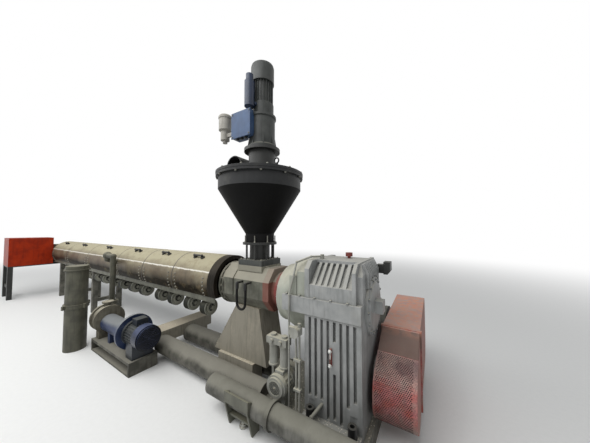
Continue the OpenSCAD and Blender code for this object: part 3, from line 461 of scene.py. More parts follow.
# %% [markdown]
# ## Bare castings, plate and small parts
#
# What is hot or bolted often is never painted: the throat and the die head are
# bare castings, brown with rust and dust. Sheet and plate are smoother and only
# carry streaks. The small parts are moulded plastic, rubber or plated steel,
# with little dirt, because it doesn't cling to them.

# %% Bare castings, plate and small parts
# iron left as it came from the sand mould: rough, and brown with rust and dust
casting_brown = worn_paint("dusty_bare_casting", "#6d695c", second="#545044", dust_colour="#b3ad9b", dustiness=0.85,
                           grime_colour="#2c2a25", grime=0.6, gloss=0.6, grain_mm=6, relief_mm=0.8)
# the same casting, with the coupling cover's red run on over its end, and flake dust on its upper slope
red_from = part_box("coupling_cover")[0].x - 0.11
throat_casting = worn_paint("casting_with_red_end", "#6c6c61", second="#54544a", dust_colour="#b0aa98", dustiness=0.8,
                            grime_colour="#2c2a25", grime=0.6, gloss=0.6, grain_mm=6, relief_mm=0.8,
                            zones=[(0, red_from, red_from + 0.2, "#7d4338", 0.7, 0),
                                   (2, 1.096, 1.5, "#938f81", 0.7, 0)])
# thin pressure castings, nearly black with oily dust, with pale fronts: wear and painted light in the trough's shade
blower_grey = worn_paint("blower_casting_paint", "#262721", second="#1d1e19", dust_colour="#57554a", dustiness=0.6,
                         grime_colour="#12120f", grime=0.5, gloss=0.6, shine=0.2, front="#a09f92")
# light grey enamel on small castings and motors, yellowed by dust
oil_unit_grey = worn_paint("light_grey_enamel", "#9c9c95", second="#8b8b83", dust_colour="#c2bda9", dustiness=0.7,
                           grime_colour="#4a4943", grime=0.45)
# painted sheet, greyed evenly by dust
trough_paint = worn_paint("trough_paint", "#68685d", second="#54544a", dust_colour="#85826f", dustiness=0.6, grime=0.4)
# steel browned by the barrel's heat, without a shine
ring_brown = worn_paint("dark_brown_steel", "#231e18", second="#191611", dust_colour="#50493c", dustiness=0.35,
                        shine=0.1)
# rolled and welded plate, painted green grey and streaked by water
tank_grey = worn_paint("dark_green_grey_tank", "#575649", second="#47463c", dust_colour="#7d7968", dustiness=0.6,
                       grime_colour="#26261f", grime=0.6, gloss=0.55)
# a moulded housing, light, satin and slightly soiled
filter_grey = worn_paint("light_filter_housing", "#a19e96", second="#8f8c84", dust_colour="#b4aea0", dustiness=0.5,
                         grime_colour="#5b584f", grime=0.4, gloss=0.5)
# moulded plastic and blackened steel, with a soft sheen
cap_black = worn_paint("black_plastic_cap", "#1b1b1b", dust_colour="#5b5951", dustiness=0.4, grime=0.1, gloss=0.4)
# black rubber, dark and matt
hose_black = worn_paint("black_rubber_hose", "#0c0c0b", dust_colour="#3a3934", dustiness=0.3, grime=0.2, gloss=0.6,
                        shine=0.2)
# zinc-plated steel: bright metal under a thin film of dust
zinc = worn_paint("zinc_plated_steel", "#a7a8a4", dust_colour="#b5ad99", dustiness=0.5, gloss=0.35, metallic=0.8)
print("materials so far:", len(bpy.data.materials))

# %% [markdown]
# ## Stainless covers
#
# The barrel hides under rolled stainless sheet. Rolling and brushing leave
# fine lines round the drum, so the noise is stretched along the way round. A
# film of dust and baked-on brown makes the top pale and the sides dull. Where
# the sheet turns down it is painted near black, partly soot and partly painted
# shade, and a painted highlight runs along the drum just below the dust. The
# fields of dirt are about 40 cm wide and the stains 9 cm. Real rolling lines
# are too fine to show, so they are drawn 4 mm apart.

# %% Stainless covers
def rolled_stainless(name):
    made, tree = new_material(name)
    where, dust, dark = dirt_masks(tree, dustiness=0.9, grime=0.45, drift_m=0.35, streak_m=0.05)
    fields = add(tree, "ShaderNodeTexNoise", {"Vector": where, "Scale": 2.4, "Detail": 6.0, "Roughness": 0.65})
    brown = add(tree, "ShaderNodeMapRange", {"Value": fields, "From Min": 0.36, "From Max": 0.66})
    burnt = add(tree, "ShaderNodeTexNoise", {"Vector": where, "Scale": 11.0, "Detail": 7.0, "Roughness": 0.7})
    stain = add(tree, "ShaderNodeMapRange", {"Value": burnt, "From Min": 0.53, "From Max": 0.66, "To Max": 0.7})
    # grease and soot gather where the sheet turns down, and painted shade darkens it further there
    normal = add(tree, "ShaderNodeNewGeometry").outputs["Normal"]
    facing_up = add(tree, "ShaderNodeSeparateXYZ", {0: normal}).outputs[2]
    uneven = add(tree, "ShaderNodeMath", {0: fields, 1: 0.3}, operation="MULTIPLY")
    turned_down = add(tree, "ShaderNodeMath", {0: facing_up, 1: uneven}, operation="SUBTRACT")
    soot_and_painted_shade = add(tree, "ShaderNodeMapRange", {"Value": turned_down, "From Min": 0.05, "From Max": -0.35, "To Max": 0.92})
    # a painted highlight: a bright line along the drum, a hand's width below the dust
    wander = add(tree, "ShaderNodeMapRange", {"Value": burnt, "To Min": 0.38, "To Max": 0.48})
    above_line = add(tree, "ShaderNodeMath", {0: facing_up, 1: wander}, operation="SUBTRACT")
    off_line = add(tree, "ShaderNodeMath", {0: above_line}, operation="ABSOLUTE")
    painted_highlight = add(tree, "ShaderNodeMapRange", {"Value": off_line, "From Min": 0.008, "From Max": 0.035,
                                              "To Min": 0.85, "To Max": 0.0})
    # splashes of burnt plastic lie over the dust
    splashes = add(tree, "ShaderNodeMath", {0: stain, 1: 0.55}, operation="MULTIPLY")
    # brown, grime, stains, dust and splashes are the sheet's own; the near-black coat is soot and painted shade, the
    # pale line a painted highlight
    colour = coats(tree, linear("#7b725e"), [
        (brown, "#5c4f3e"), (dark, "#3c352b"), (stain, "#4f3f2c"), (soot_and_painted_shade, "#100d09"), (dust, "#aaa388"),
        (painted_highlight, "#e4e1d8"), (splashes, "#7c6c52")])
    # bare sheet shines as metal does; dust, soot and the painted shade below don't
    free_of_soot_and_shade = add(tree, "ShaderNodeMath", {0: 1.0, 1: soot_and_painted_shade}, operation="SUBTRACT")
    bare = add(tree, "ShaderNodeMapRange", {"Value": dust, "From Max": 0.6, "To Min": 0.35, "To Max": 0.02})
    metal = add(tree, "ShaderNodeMath", {0: bare, 1: free_of_soot_and_shade}, operation="MULTIPLY")
    shine = add(tree, "ShaderNodeMath", {0: free_of_soot_and_shade, 1: 0.5}, operation="MULTIPLY")
    rough = add(tree, "ShaderNodeMapRange", {"Value": dust, "From Max": 0.6, "To Min": 0.42, "To Max": 0.8})
    drawn_out = add(tree, "ShaderNodeMapping", {"Vector": where, "Scale": (260.0, 6.0, 6.0)})
    lines = add(tree, "ShaderNodeTexNoise", {"Vector": drawn_out, "Scale": 1.0})
    bump = add(tree, "ShaderNodeBump", {"Height": lines, "Strength": 0.25, "Distance": 0.0002})
    shader = add(tree, "ShaderNodeBsdfPrincipled", {"Base Color": colour, "Metallic": metal, "Roughness": rough,
                                                    "Specular IOR Level": shine, "Normal": bump})
    add(tree, "ShaderNodeOutputMaterial", {"Surface": shader})
    return made


stainless = rolled_stainless("rolled_stainless_sheet")
print("finish:", stainless.name)

# %% [markdown]
# ## Give every solid its finish
#
# Each solid from CAD keeps its shape and only gets another material in its
# slot. Sixty single lines would do it too. A list that goes from each finish to
# its solids is easier to read and to change, and the count at the end shows
# whether one was forgotten. Only the hose's solid goes without, because the
# curve stands for it, and the curve gets its rubber here as well.

# %% Finishes on the solids
finish_of = {
    gearbox_enamel: ["gearbox_foot", "gearbox_lower_housing", "gearbox_split_flange", "gearbox_upper_housing",
                     "gearbox_rear_cover", "input_bearing_cover"],
    thrust_enamel: ["gearbox_thrust_housing", "thrust_housing_shell"],
    near_tube_paint: ["base_tube_near", "drain_valve"],
    tube_paint: ["base_tubes", "gearbox_plinth", "motor_stand", "barrel_legs", "pump_base"],
    beam_paint: ["cross_beam", "throat_pedestal"],
    guard_paint: ["belt_guard_front", "belt_guard_rear"],
    cover_red: ["coupling_cover", "oil_level_gauge", "breather_cap"],
    head_red: ["head_guard"],
    hopper_black: ["hopper_cone"],
    lid_black: ["hopper_drum", "hopper_lid"],
    drum_grey: ["crammer_reducer", "crammer_motor", "drive_motor", "hopper_square_flange"],
    dark_steel: ["hopper_spool", "crammer_gear_drum", "rear_top_box", "head_table"],
    blue_paint: ["crammer_terminal_box"],
    brake_blue: ["crammer_brake"],
    navy_paint: ["pump_motor"],
    black_navy: ["pump_fan_cover"],
    throat_casting: ["feed_throat"],
    casting_brown: ["barrel", "die_head", "vacuum_pump"],
    tank_grey: ["vacuum_tank", "vent_pipe"],
    filter_grey: ["crammer_filter"],
    blower_grey: ["blowers"],
    oil_unit_grey: ["oil_pipe", "oil_pump_motor", "oil_pump", "oil_filters", "oil_distributor"],
    trough_paint: ["barrel_trough", "foot_brackets"],
    ring_brown: ["barrel_start_ring"],
    cap_black: ["gearbox_foot_bolts", "barrel_handles", "hose_fittings"],
    zinc: ["levelling_screws"],
    stainless: ["barrel_covers"],
}
dressed = 0
for material, names in finish_of.items():
    for name in names:
        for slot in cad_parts[name].material_slots:
            slot.material = material
        dressed += 1
throat_hose.data.materials.append(hose_black)
print("solids with a finish:", dressed, "of", len(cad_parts))

# %% [markdown]
# ## A tree that makes rows of bolts
#
# A machine like this is held together by some three hundred screws, and each is
# the same: a washer, a head, and a chamfer on the head. To model them one by
# one would be dull work, and a copied mesh could not change its size later. So
# Geometry Nodes make one bolt from three short cones and put it on every point
# of a small list. Each point carries an attribute, `facing`, that says which
# way its bolt looks, and a random turn keeps the flats from lining up.

# %% A tree that makes rows of bolts
def new_tree(name, inputs):
    tree = bpy.data.node_groups.new(name, "GeometryNodeTree")
    for label, kind, value in inputs:
        socket = tree.interface.new_socket(label, in_out="INPUT", socket_type=kind)
        if value is not None:
            socket.default_value = value
    tree.interface.new_socket("Geometry", in_out="OUTPUT", socket_type="NodeSocketGeometry")
    return tree, add(tree, "NodeGroupInput").outputs


def place_and_finish(tree, given, shape, seed=3, smooth=False):
    """Puts the shape on every place, turned along its facing, and ends the tree."""
    facing = add(tree, "GeometryNodeInputNamedAttribute", {"Name": "facing"}, data_type="FLOAT_VECTOR")
    aimed = add(tree, "FunctionNodeAlignRotationToVector", {"Vector": facing}, axis="Z")
    angle = add(tree, "FunctionNodeRandomValue", {"Min": 0.0, "Max": given["Turn"], "Seed": seed}, data_type="FLOAT")
    own_turn = add(tree, "FunctionNodeAxisAngleToRotation", {"Axis": (0.0, 0.0, 1.0), "Angle": angle.outputs["Value"]})
    turned = add(tree, "FunctionNodeRotateRotation", {"Rotation": aimed, "Rotate By": own_turn}, rotation_space="LOCAL")
    placed = add(tree, "GeometryNodeInstanceOnPoints", {"Points": given["Places"], "Instance": shape,
                                                        "Rotation": turned})
    real = add(tree, "GeometryNodeRealizeInstances", {"Geometry": placed})
    soft = add(tree, "GeometryNodeSetShadeSmooth", {"Geometry": real, "Shade Smooth": smooth})
    done = add(tree, "GeometryNodeSetMaterial", {"Geometry": soft, "Material": given["Finish"]})
    add(tree, "NodeGroupOutput", {"Geometry": done})


def bolt_tree():
    tree, given = new_tree("bolt_row", [
        ("Places", "NodeSocketGeometry", None), ("Head radius", "NodeSocketFloat", 0.012),
        ("Sides", "NodeSocketInt", 6), ("Turn", "NodeSocketFloat", 6.28), ("Finish", "NodeSocketMaterial", None)])
    sides, radius = given["Sides"], given["Head radius"]
    # every size of the bolt is a share of its head's radius
    part = {name: add(tree, "ShaderNodeMath", {0: radius, 1: share}, operation="MULTIPLY") for name, share in (
        ("washer", 1.35), ("washer top", 1.32), ("washer depth", 0.22), ("head depth", 1.0), ("chamfer top", 0.8),
        ("chamfer depth", 0.18))}
    washer = add(tree, "GeometryNodeMeshCone", {"Vertices": 16, "Radius Bottom": part["washer"],
                                                "Radius Top": part["washer top"], "Depth": part["washer depth"]})
    head = add(tree, "GeometryNodeMeshCone", {"Vertices": sides, "Radius Bottom": radius, "Radius Top": radius,
                                              "Depth": part["head depth"]})
    chamfer = add(tree, "GeometryNodeMeshCone", {"Vertices": sides, "Radius Bottom": radius,
                                                 "Radius Top": part["chamfer top"], "Depth": part["chamfer depth"]})
    lift = add(tree, "ShaderNodeCombineXYZ", {"Z": part["head depth"]})
    raised = add(tree, "GeometryNodeTransform", {"Geometry": chamfer, "Translation": lift})
    place_and_finish(tree, given, add(tree, "GeometryNodeJoinGeometry", {"Geometry": [washer, head, raised]}))
    return tree


bolts = bolt_tree()
print("tree", bolts.name, "inputs:", [i.name for i in bolts.interface.items_tree if i.in_out == "INPUT"])

# %% [markdown]
# ## From a tree to a plain piece
#
# The places are a mesh with points and no faces. A modifier grows the bolts on
# it. Then the result is turned into a plain mesh and the helper object goes,
# so that the model holds ordinary triangles.

# %% From a tree to a plain piece
def harvest(holder, tree, name, values):
    """Runs the tree on the helper object, keeps the result as a plain piece and removes the helper."""
    step = holder.modifiers.new("grow", "NODES")
    step.node_group = tree
    for item in tree.interface.items_tree:
        key = item.name.replace(" ", "_").lower()
        if item.in_out == "INPUT" and key in values:
            step[item.identifier] = values.pop(key)
    assert not values, values
    plain = bpy.data.meshes.new_from_object(holder.evaluated_get(bpy.context.evaluated_depsgraph_get()))
    plain.name = name
    bpy.data.objects.remove(holder)
    return link_piece(name, plain)


def grow(tree, name, places, facings, slot, **values):
    """Grows a tree on a list of places, each with the way that it faces."""
    seeds = bpy.data.meshes.new(name + "_places")
    seeds.from_pydata(places, [], [])
    facing = seeds.attributes.new("facing", "FLOAT_VECTOR", "POINT")
    facing.data.foreach_set("vector", [c for f in facings for c in f])
    return harvest(link_object(name + "_places", seeds), tree, name, values)


def ring(centre, axis, radius, count, first=0.0):
    """Points on a circle round an axis, all facing along it."""
    axis = Vector(axis).normalized()
    side = Vector((0, 0, 1)) if abs(axis.z) < 0.9 else Vector((1, 0, 0))
    across = axis.cross(side).normalized()
    upward = across.cross(axis)
    spots = [Vector(centre) + radius * (math.cos(a) * across + math.sin(a) * upward)
             for a in (first + 2 * math.pi * k / count for k in range(count))]
    return [tuple(s) for s in spots], [tuple(axis)] * count


# zinc plating that has gone dull: still metal, but grey and spotted
bolt_zinc = worn_paint("dull_zinc_bolts", "#8b8a82", second="#6f6d65", dust_colour="#b3ab97", dustiness=0.6,
                       grime_colour="#33312c", grime=0.5, gloss=0.45, grain_mm=2, metallic=0.6)
# bolts that were painted over with the gearbox, a little cooler than its enamel
bolt_painted = worn_paint("bolts_painted_over", "#85888a", second="#74777a", dust_colour="#b9b5a4", dustiness=0.8,
                          grime_colour="#4a4a45", grime=0.5, gloss=0.5, grain_mm=3)
print("bolt finishes ready")

# %% [markdown]
# ## The bolts of the gearbox
#
# The upper and lower half of the gearbox meet at the thick flange, and a row
# of bolts along its ledge pulls them together. The round thrust housing at the
# left and the bearing cover at the right each have a circle of bolts.

# %% The bolts of the gearbox
axis_z = 1.0
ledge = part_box("gearbox_split_flange")[1].z
rear_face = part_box("gearbox_lower_housing")[1].x
bell_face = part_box("gearbox_thrust_housing")[0].x
ledge_x = (-0.399, -0.272, -0.137, -0.003, 0.127)
ledge_places = [(x, side * 0.313, ledge) for side in (-1, 1) for x in ledge_x]
grow(bolts, "ledge_bolts", ledge_places, [(0, 0, 1)] * len(ledge_places), "gearbox_paint", head_radius=0.0105,
     finish=bolt_painted)
places, facings = ring((rear_face + 0.020, 0, axis_z - 0.005), (1, 0, 0), radius=0.208, count=14)
bearing_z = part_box("input_bearing_cover")[0].z + 0.12
more, more_facings = ring((rear_face + 0.018, 0.130, bearing_z), (1, 0, 0), radius=0.103, count=8)
grow(bolts, "rear_cover_bolts", places + more, facings + more_facings, "gearbox_paint", head_radius=0.010,
     finish=bolt_painted)
places, facings = ring((bell_face + 0.012, 0, axis_z), (-1, 0, 0), radius=0.235, count=16)
grow(bolts, "thrust_housing_bolts", places, facings, "housing_green_grey", head_radius=0.011, finish=bolt_painted)
print("gearbox bolts:", len(ledge_places) + 14 + 8 + 16)

# %% [markdown]
# ## The bolts of feed throat, hopper and die head
#
# The throat is bolted to the barrel with a ring of big nuts, for the melt
# pushes back with many tonnes. The hopper's lid and drum share a rim with
# twelve bolts whose nuts hang below it. The square flange under the open frame
# has four at each side, and the die head has heavy screws in its block.

# %% The bolts of feed throat, hopper and die head
throat_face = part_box("feed_throat")[0].x
places, facings = ring((throat_face + 0.025, 0, axis_z), (1, 0, 0), radius=0.2175, count=18)
grow(bolts, "throat_flange_nuts", places, facings, "pump_cast", head_radius=0.012, finish=bolt_zinc)
drum_low, drum_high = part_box("hopper_drum")
hopper_axis = ((drum_low.x + drum_high.x) / 2, 0.0)
rim_r = (drum_high.x - drum_low.x) / 2 - 0.010
rim_half = 0.026  # half the height of the joined rims
places, facings = ring((*hopper_axis, drum_high.z - rim_half), (0, 0, -1), rim_r, count=12, first=0.2)
heads, head_facings = ring((*hopper_axis, drum_high.z + rim_half), (0, 0, 1), rim_r, count=12, first=0.2)
grow(bolts, "hopper_rim_bolts", places + heads, facings + head_facings, "drum_grey", head_radius=0.010,
     finish=bolt_zinc)
square_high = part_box("hopper_square_flange")[1]
edge = square_high.x - hopper_axis[0] - 0.022
square_places = [(hopper_axis[0] + a * edge, b * edge, square_high.z) for a in (-1, -0.35, 0.35, 1)
                 for b in (-1, -0.35, 0.35, 1) if max(abs(a), abs(b)) == 1]
grow(bolts, "square_flange_bolts", square_places, [(0, 0, 1)] * len(square_places), "drum_grey", head_radius=0.009,
     finish=bolt_zinc)
die_low, die_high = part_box("die_head")
block_face = die_high.x - 0.060
block_x = (die_low.x + 0.35 + block_face) / 2
side_places = [(block_x + a, side * 0.24, axis_z + b) for side in (-1, 1) for a in (-0.085, 0.085)
               for b in (-0.17, 0.0, 0.17)]
side_facings = [(0, side, 0) for side in (-1, 1) for _ in range(6)]
grow(bolts, "die_block_screws", side_places, side_facings, "pump_cast", head_radius=0.017, sides=12, finish=bolt_zinc)
print("throat, hopper and head bolts:", 18 + 24 + len(square_places) + len(side_places))

# %% [markdown]
# ## The studs under the hopper
#
# Eight long studs hold the hopper's neck on the open frame. Their threaded
# ends stand 7 cm above the flange, each with a nut, because they were cut too
# long. A second small tree grows them, with the stud's length as an input.

# %% The studs under the hopper
stud_tree, given = new_tree("stud_row", [
    ("Places", "NodeSocketGeometry", None), ("Stud radius", "NodeSocketFloat", 0.006),
    ("Length", "NodeSocketFloat", 0.07), ("Turn", "NodeSocketFloat", 0.0), ("Finish", "NodeSocketMaterial", None)])
rod = add(stud_tree, "GeometryNodeMeshCone", {"Vertices": 10, "Radius Bottom": given["Stud radius"],
                                              "Radius Top": given["Stud radius"], "Depth": given["Length"]})
place_and_finish(stud_tree, given, rod)
neck_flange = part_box("hopper_spool")[1].z
places, facings = ring((*hopper_axis, neck_flange), (0, 0, 1), radius=0.169, count=8, first=math.pi / 8)
grow(stud_tree, "neck_studs", places, facings, "drum_grey", finish=bolt_zinc)
grow(bolts, "neck_stud_nuts", places, facings, "drum_grey", head_radius=0.0095, finish=bolt_zinc)
print("studs:", len(places), "on a flange at", round(neck_flange, 3))

# %% [markdown]
# ## The clasps of the barrel covers
#
# Each stainless cover is a half shell that is drawn tight round the insulation
# by short screws in a column at its lower edge, on both sides. The columns
# stand close beside the joints between two covers, where the sheet is doubled
# by a narrow strap. The strap follows the round of the drum, so it is made
# from its angles: a strip of quads that stands 1.5 mm off the cover.

# %% The clasps of the barrel covers
cover_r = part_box("barrel_covers")[1].z - axis_z
cover_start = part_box("barrel_covers")[1].x
barrel_len = 6.106
seams = (0, 0.114, 0.24, 0.383, 0.604, 0.809, 1)
column_x = []
for k in range(6):
    column_x += [cover_start - barrel_len * seams[k] - 0.075, cover_start - barrel_len * seams[k + 1] + 0.075]


def on_cover(x, degrees, lift, side=-1):
    a = math.radians(degrees)
    return (x, side * (cover_r + lift) * math.cos(a), axis_z + (cover_r + lift) * math.sin(a))


screw_places, screw_facings = [], []
for x in column_x:
    for side in (-1, 1):
        for degrees in (12, 4, -4, -12, -20, -27):
            screw_places.append(on_cover(x, degrees, 0.0, side))
            screw_facings.append((0, side * math.cos(math.radians(degrees)), math.sin(math.radians(degrees))))
grow(bolts, "cover_screws", screw_places, screw_facings, "barrel_sheet", head_radius=0.0085, sides=8, finish=bolt_zinc)


def strip_over_cover(name, strips, material):
    """Narrow bands of sheet round the covers, with their edges turned down to them."""
    shape = bmesh.new()
    for x0, x1, start, end, lift in strips:
        rows = []
        steps = max(8, int(abs(end - start) / 5))
        for k in range(steps + 1):
            a = start + (end - start) * k / steps
            rows.append([shape.verts.new(on_cover(x, a, h)) for x, h in
                         ((x0, 0.0), (x0, lift), (x1, lift), (x1, 0.0))])
        for low_row, high_row in zip(rows, rows[1:]):
            for k in range(3):
                shape.faces.new((low_row[k], low_row[k + 1], high_row[k + 1], high_row[k]))
    return mesh_piece(name, shape, material)


print("columns:", len(column_x), "screws:", len(screw_places))

# %% [markdown]
# ## The joints between the covers
#
# Where two covers meet, a narrow strap closes the joint. Years of hot, greasy
# dust have made it darker than the sheet. It runs from the lower edge on the
# near side over the top to the other side.

# %% The joints between the covers
# steel strap under baked-on grease, darker than the sheet on both sides of it
greasy_strap = worn_paint("greasy_steel_strap", "#4d4740", second="#3a352f", dust_colour="#a29a88", dustiness=0.35,
                          grime_colour="#1f1c19", grime=0.6, gloss=0.45)
joint_x = [cover_start - barrel_len * s for s in seams[1:6]]
half_width, low_edge, far_edge, lift = 0.008, -27, 207, 0.0015
strip_over_cover("cover_joint_straps", [(x - half_width, x + half_width, low_edge, far_edge, lift) for x in joint_x],
                 greasy_strap)
print("joints at", [round(x, 2) for x in joint_x])

# %% [markdown]
# ## The perforated front of the belt guard
#
# The lower front of the belt guard is perforated sheet, so that air can reach
# the belts. Cutting a thousand holes would make a heavy mesh. The machine
# behind them lies dark in the guard's shade, so a small black disc of painted
# shade on every hole's place looks the same. The places follow the guard's own
# profile: down the slope, round the upper bend, down the front and round the
# lower bend, in staggered rows.

# %% The perforated front of the belt guard
def disc_tree():
    tree, given = new_tree("disc_row", [
        ("Places", "NodeSocketGeometry", None), ("Radius", "NodeSocketFloat", 0.005), ("Sides", "NodeSocketInt", 7),
        ("Thickness", "NodeSocketFloat", 0.0004), ("Turn", "NodeSocketFloat", 6.28),
        ("Finish", "NodeSocketMaterial", None)])
    narrower = add(tree, "ShaderNodeMath", {0: given["Radius"], 1: 0.94}, operation="MULTIPLY")
    disc = add(tree, "GeometryNodeMeshCone", {"Vertices": given["Sides"], "Radius Bottom": given["Radius"],
                                              "Radius Top": narrower, "Depth": given["Thickness"]})
    place_and_finish(tree, given, disc, seed=5)
    return tree


discs = disc_tree()
guard_low_corner, guard_high_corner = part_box("belt_guard_front")
guard_x0, guard_x1 = guard_low_corner.x + 0.010, guard_high_corner.x - 0.012
bend_y, bend_r, low_z, high_z = 0.010, 0.200, 0.360, 0.408


def guard_profile(step):
    """Points and outward directions down the front of the guard, one step apart."""
    a0 = math.radians(122)
    corner = Vector((bend_y + bend_r * math.cos(a0), high_z + bend_r * math.sin(a0)))
    seam = Vector((0.008, 0.643))
    slope = (corner - seam).length
    upper, front = bend_r * math.radians(58), high_z - low_z
    lower = bend_r * math.radians(84)
    s = step
    while s < slope + upper + front + lower:
        if s < slope:
            point = seam.lerp(corner, s / slope)
            out_way = Vector((-(seam - corner).y, (seam - corner).x)).normalized()
        elif s < slope + upper:
            a = a0 + (s - slope) / bend_r
            out_way = Vector((math.cos(a), math.sin(a)))
            point = Vector((bend_y, high_z)) + bend_r * out_way
        elif s < slope + upper + front:
            out_way = Vector((-1.0, 0.0))
            point = Vector((bend_y - bend_r, high_z - (s - slope - upper)))
        else:
            a = math.pi + (s - slope - upper - front) / bend_r
            out_way = Vector((math.cos(a), math.sin(a)))
            point = Vector((bend_y, low_z)) + bend_r * out_way
        yield point, out_way
        s += step


# painted shade: the dark inside of the guard, seen through its holes
painted_hole_shade = worn_paint("dark_behind_the_holes", "#0d0908", dust_colour="#2a201d", dustiness=0.3, grime=0.2, gloss=0.8)
hole_places, hole_facings = [], []
pitch, margin = 0.0135, 0.017
count = int((guard_x1 - guard_x0 - 2 * margin) / pitch)
for row, (point, out_way) in enumerate(guard_profile(pitch * 0.87)):
    for k in range(count):
        x = guard_x0 + margin + pitch * (k + 0.5 * (row % 2))
        hole_places.append((x, point.x, point.y))
        hole_facings.append((0.0, out_way.x, out_way.y))
grow(discs, "guard_perforation", hole_places, hole_facings, "guard_red", radius=0.0043, finish=painted_hole_shade)
print("holes in the guard:", len(hole_places))

# %% [markdown]
# ## The wire guards
#
# The blowers under the barrel and the motors' fans are kept behind guards of
# round wires. Each could be drawn as curves by hand. They differ only in size
# and in their numbers of rings and spokes, so one tree makes them all: circles
# of growing radius, spokes across them, and a round profile for both.

# %% The wire guard tree
def wire_guard_tree():
    tree, given = new_tree("wire_guard", [
        ("Places", "NodeSocketGeometry", None), ("Outer radius", "NodeSocketFloat", 0.1),
        ("Wire radius", "NodeSocketFloat", 0.002), ("Rings", "NodeSocketInt", 5), ("Spokes", "NodeSocketInt", 6),
        ("Turn", "NodeSocketFloat", 0.3), ("Finish", "NodeSocketMaterial", None)])
    number = add(tree, "GeometryNodeInputIndex")
    grown = add(tree, "ShaderNodeMath", {0: number, 1: 1.0}, operation="ADD")
    share = add(tree, "ShaderNodeMath", {0: grown, 1: given["Rings"]}, operation="DIVIDE")
    size = add(tree, "ShaderNodeMath", {0: share, 1: given["Outer radius"]}, operation="MULTIPLY")
    seeds = add(tree, "GeometryNodeMeshLine", {"Count": given["Rings"], "Offset": (0.0, 0.0, 0.0)})
    circle = add(tree, "GeometryNodeCurvePrimitiveCircle", {"Resolution": 28, "Radius": 1.0})
    circles = add(tree, "GeometryNodeInstanceOnPoints", {"Points": seeds, "Instance": circle, "Scale": size})
    starts = add(tree, "GeometryNodeMeshLine", {"Count": given["Spokes"], "Offset": (0.0, 0.0, 0.0)})
    spoke = add(tree, "GeometryNodeCurvePrimitiveLine", {"Start": (0.0, 0.0, 0.0), "End": (1.0, 0.0, 0.0)})
    part_turn = add(tree, "ShaderNodeMath", {0: number, 1: given["Spokes"]}, operation="DIVIDE")
    full_turn = add(tree, "ShaderNodeMath", {0: part_turn, 1: 2 * math.pi}, operation="MULTIPLY")
    swing = add(tree, "FunctionNodeAxisAngleToRotation", {"Axis": (0.0, 0.0, 1.0), "Angle": full_turn})
    spokes = add(tree, "GeometryNodeInstanceOnPoints", {"Points": starts, "Instance": spoke, "Rotation": swing,
                                                        "Scale": given["Outer radius"]})
    both = add(tree, "GeometryNodeJoinGeometry", {"Geometry": [circles, spokes]})
    paths = add(tree, "GeometryNodeRealizeInstances", {"Geometry": both})
    profile = add(tree, "GeometryNodeCurvePrimitiveCircle", {"Resolution": 5, "Radius": given["Wire radius"]})
    wires = add(tree, "GeometryNodeCurveToMesh", {"Curve": paths, "Profile Curve": profile, "Fill Caps": True})
    place_and_finish(tree, given, wires, seed=9, smooth=True)
    return tree


guards = wire_guard_tree()
print("tree", guards.name)

# %% [markdown]
# ## The fans of pump and oil motor
#
# Electric motors cool themselves with a fan behind a cover. The vacuum pump's
# motor has a wire guard at its end. The small motor of the oil unit shows its
# fan cover to the front: a dark field of holes round a light hub. The discs
# from the belt guard serve again, on a staggered grid cut to a ring.

# %% The fans of pump and oil motor
pump_cap_low, pump_cap_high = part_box("pump_fan_cover")
pump_axis = ((pump_cap_low.y + pump_cap_high.y) / 2, (pump_cap_low.z + pump_cap_high.z) / 2)
grow(guards, "pump_fan_guard", [(pump_cap_high.x + 0.001, *pump_axis)], [(1, 0, 0)], "navy_paint", outer_radius=0.112,
     wire_radius=0.0022, rings=6, spokes=8, finish=black_navy)
fan_centre = Vector((-0.458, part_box("oil_pump_motor")[0].y, 0.318))
# the shade behind the slots of a fan cover
dark_holes = worn_paint("dark_fan_holes", "#34352f", dust_colour="#5e5d52", dustiness=0.2, grime=0.3, gloss=0.8)
hole_pitch, row_pitch, hub_r, field_r = 0.0066, 0.0057, 0.014, 0.052
fan_places = []
for row in range(-9, 10):
    for k in range(-9, 10):
        x, z = hole_pitch * (k + 0.5 * (row % 2)), row_pitch * row
        if hub_r < math.hypot(x, z) < field_r:
            fan_places.append((fan_centre.x + x, fan_centre.y, fan_centre.z + z))
grow(discs, "oil_motor_fan_holes", fan_places, [(0, -1, 0)] * len(fan_places), "oil_unit_grey", radius=0.0030, sides=6,
     finish=dark_holes)
grow(guards, "oil_motor_fan_rim", [tuple(fan_centre)], [(0, -1, 0)], "oil_unit_grey", outer_radius=0.0565,
     wire_radius=0.0028, rings=1, spokes=0, finish=oil_unit_grey)
grow(bolts, "oil_motor_hub", [tuple(fan_centre)], [(0, -1, 0)], "oil_unit_grey", head_radius=0.008, finish=bolt_zinc)
print("fan holes:", len(fan_places))

# %% [markdown]
# ## The blowers under the barrel
#
# Fifteen blowers cool the barrel's heating zones. Their cases are solids, and
# the side that faces the hopper gets a dark inlet, a hub, a guard and a pale,
# worn rim. The distances along the barrel aren't even, so they are a plain
# list, and each kind of part is grown on that list.

# %% The blowers under the barrel
blower_s = (0.097, 0.414, 0.773, 1.093, 1.554, 1.904, 2.274, 2.644, 3.014, 3.384, 3.754, 4.124, 4.494, 4.864, 5.234)
blower_y, blower_z = -0.160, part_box("blowers")[0].z + 0.092
blower_places = [(cover_start - s, blower_y, blower_z) for s in blower_s]
face_x = [(1, 0, 0)] * len(blower_places)
# the rim of a pressure casting, worn pale by hands and tools
pale_rim = worn_paint("worn_blower_rim", "#8d8f85", second="#7b7c72", dust_colour="#a9a593", dustiness=0.5,
                      grime_colour="#3a3a34", grime=0.4, gloss=0.5)
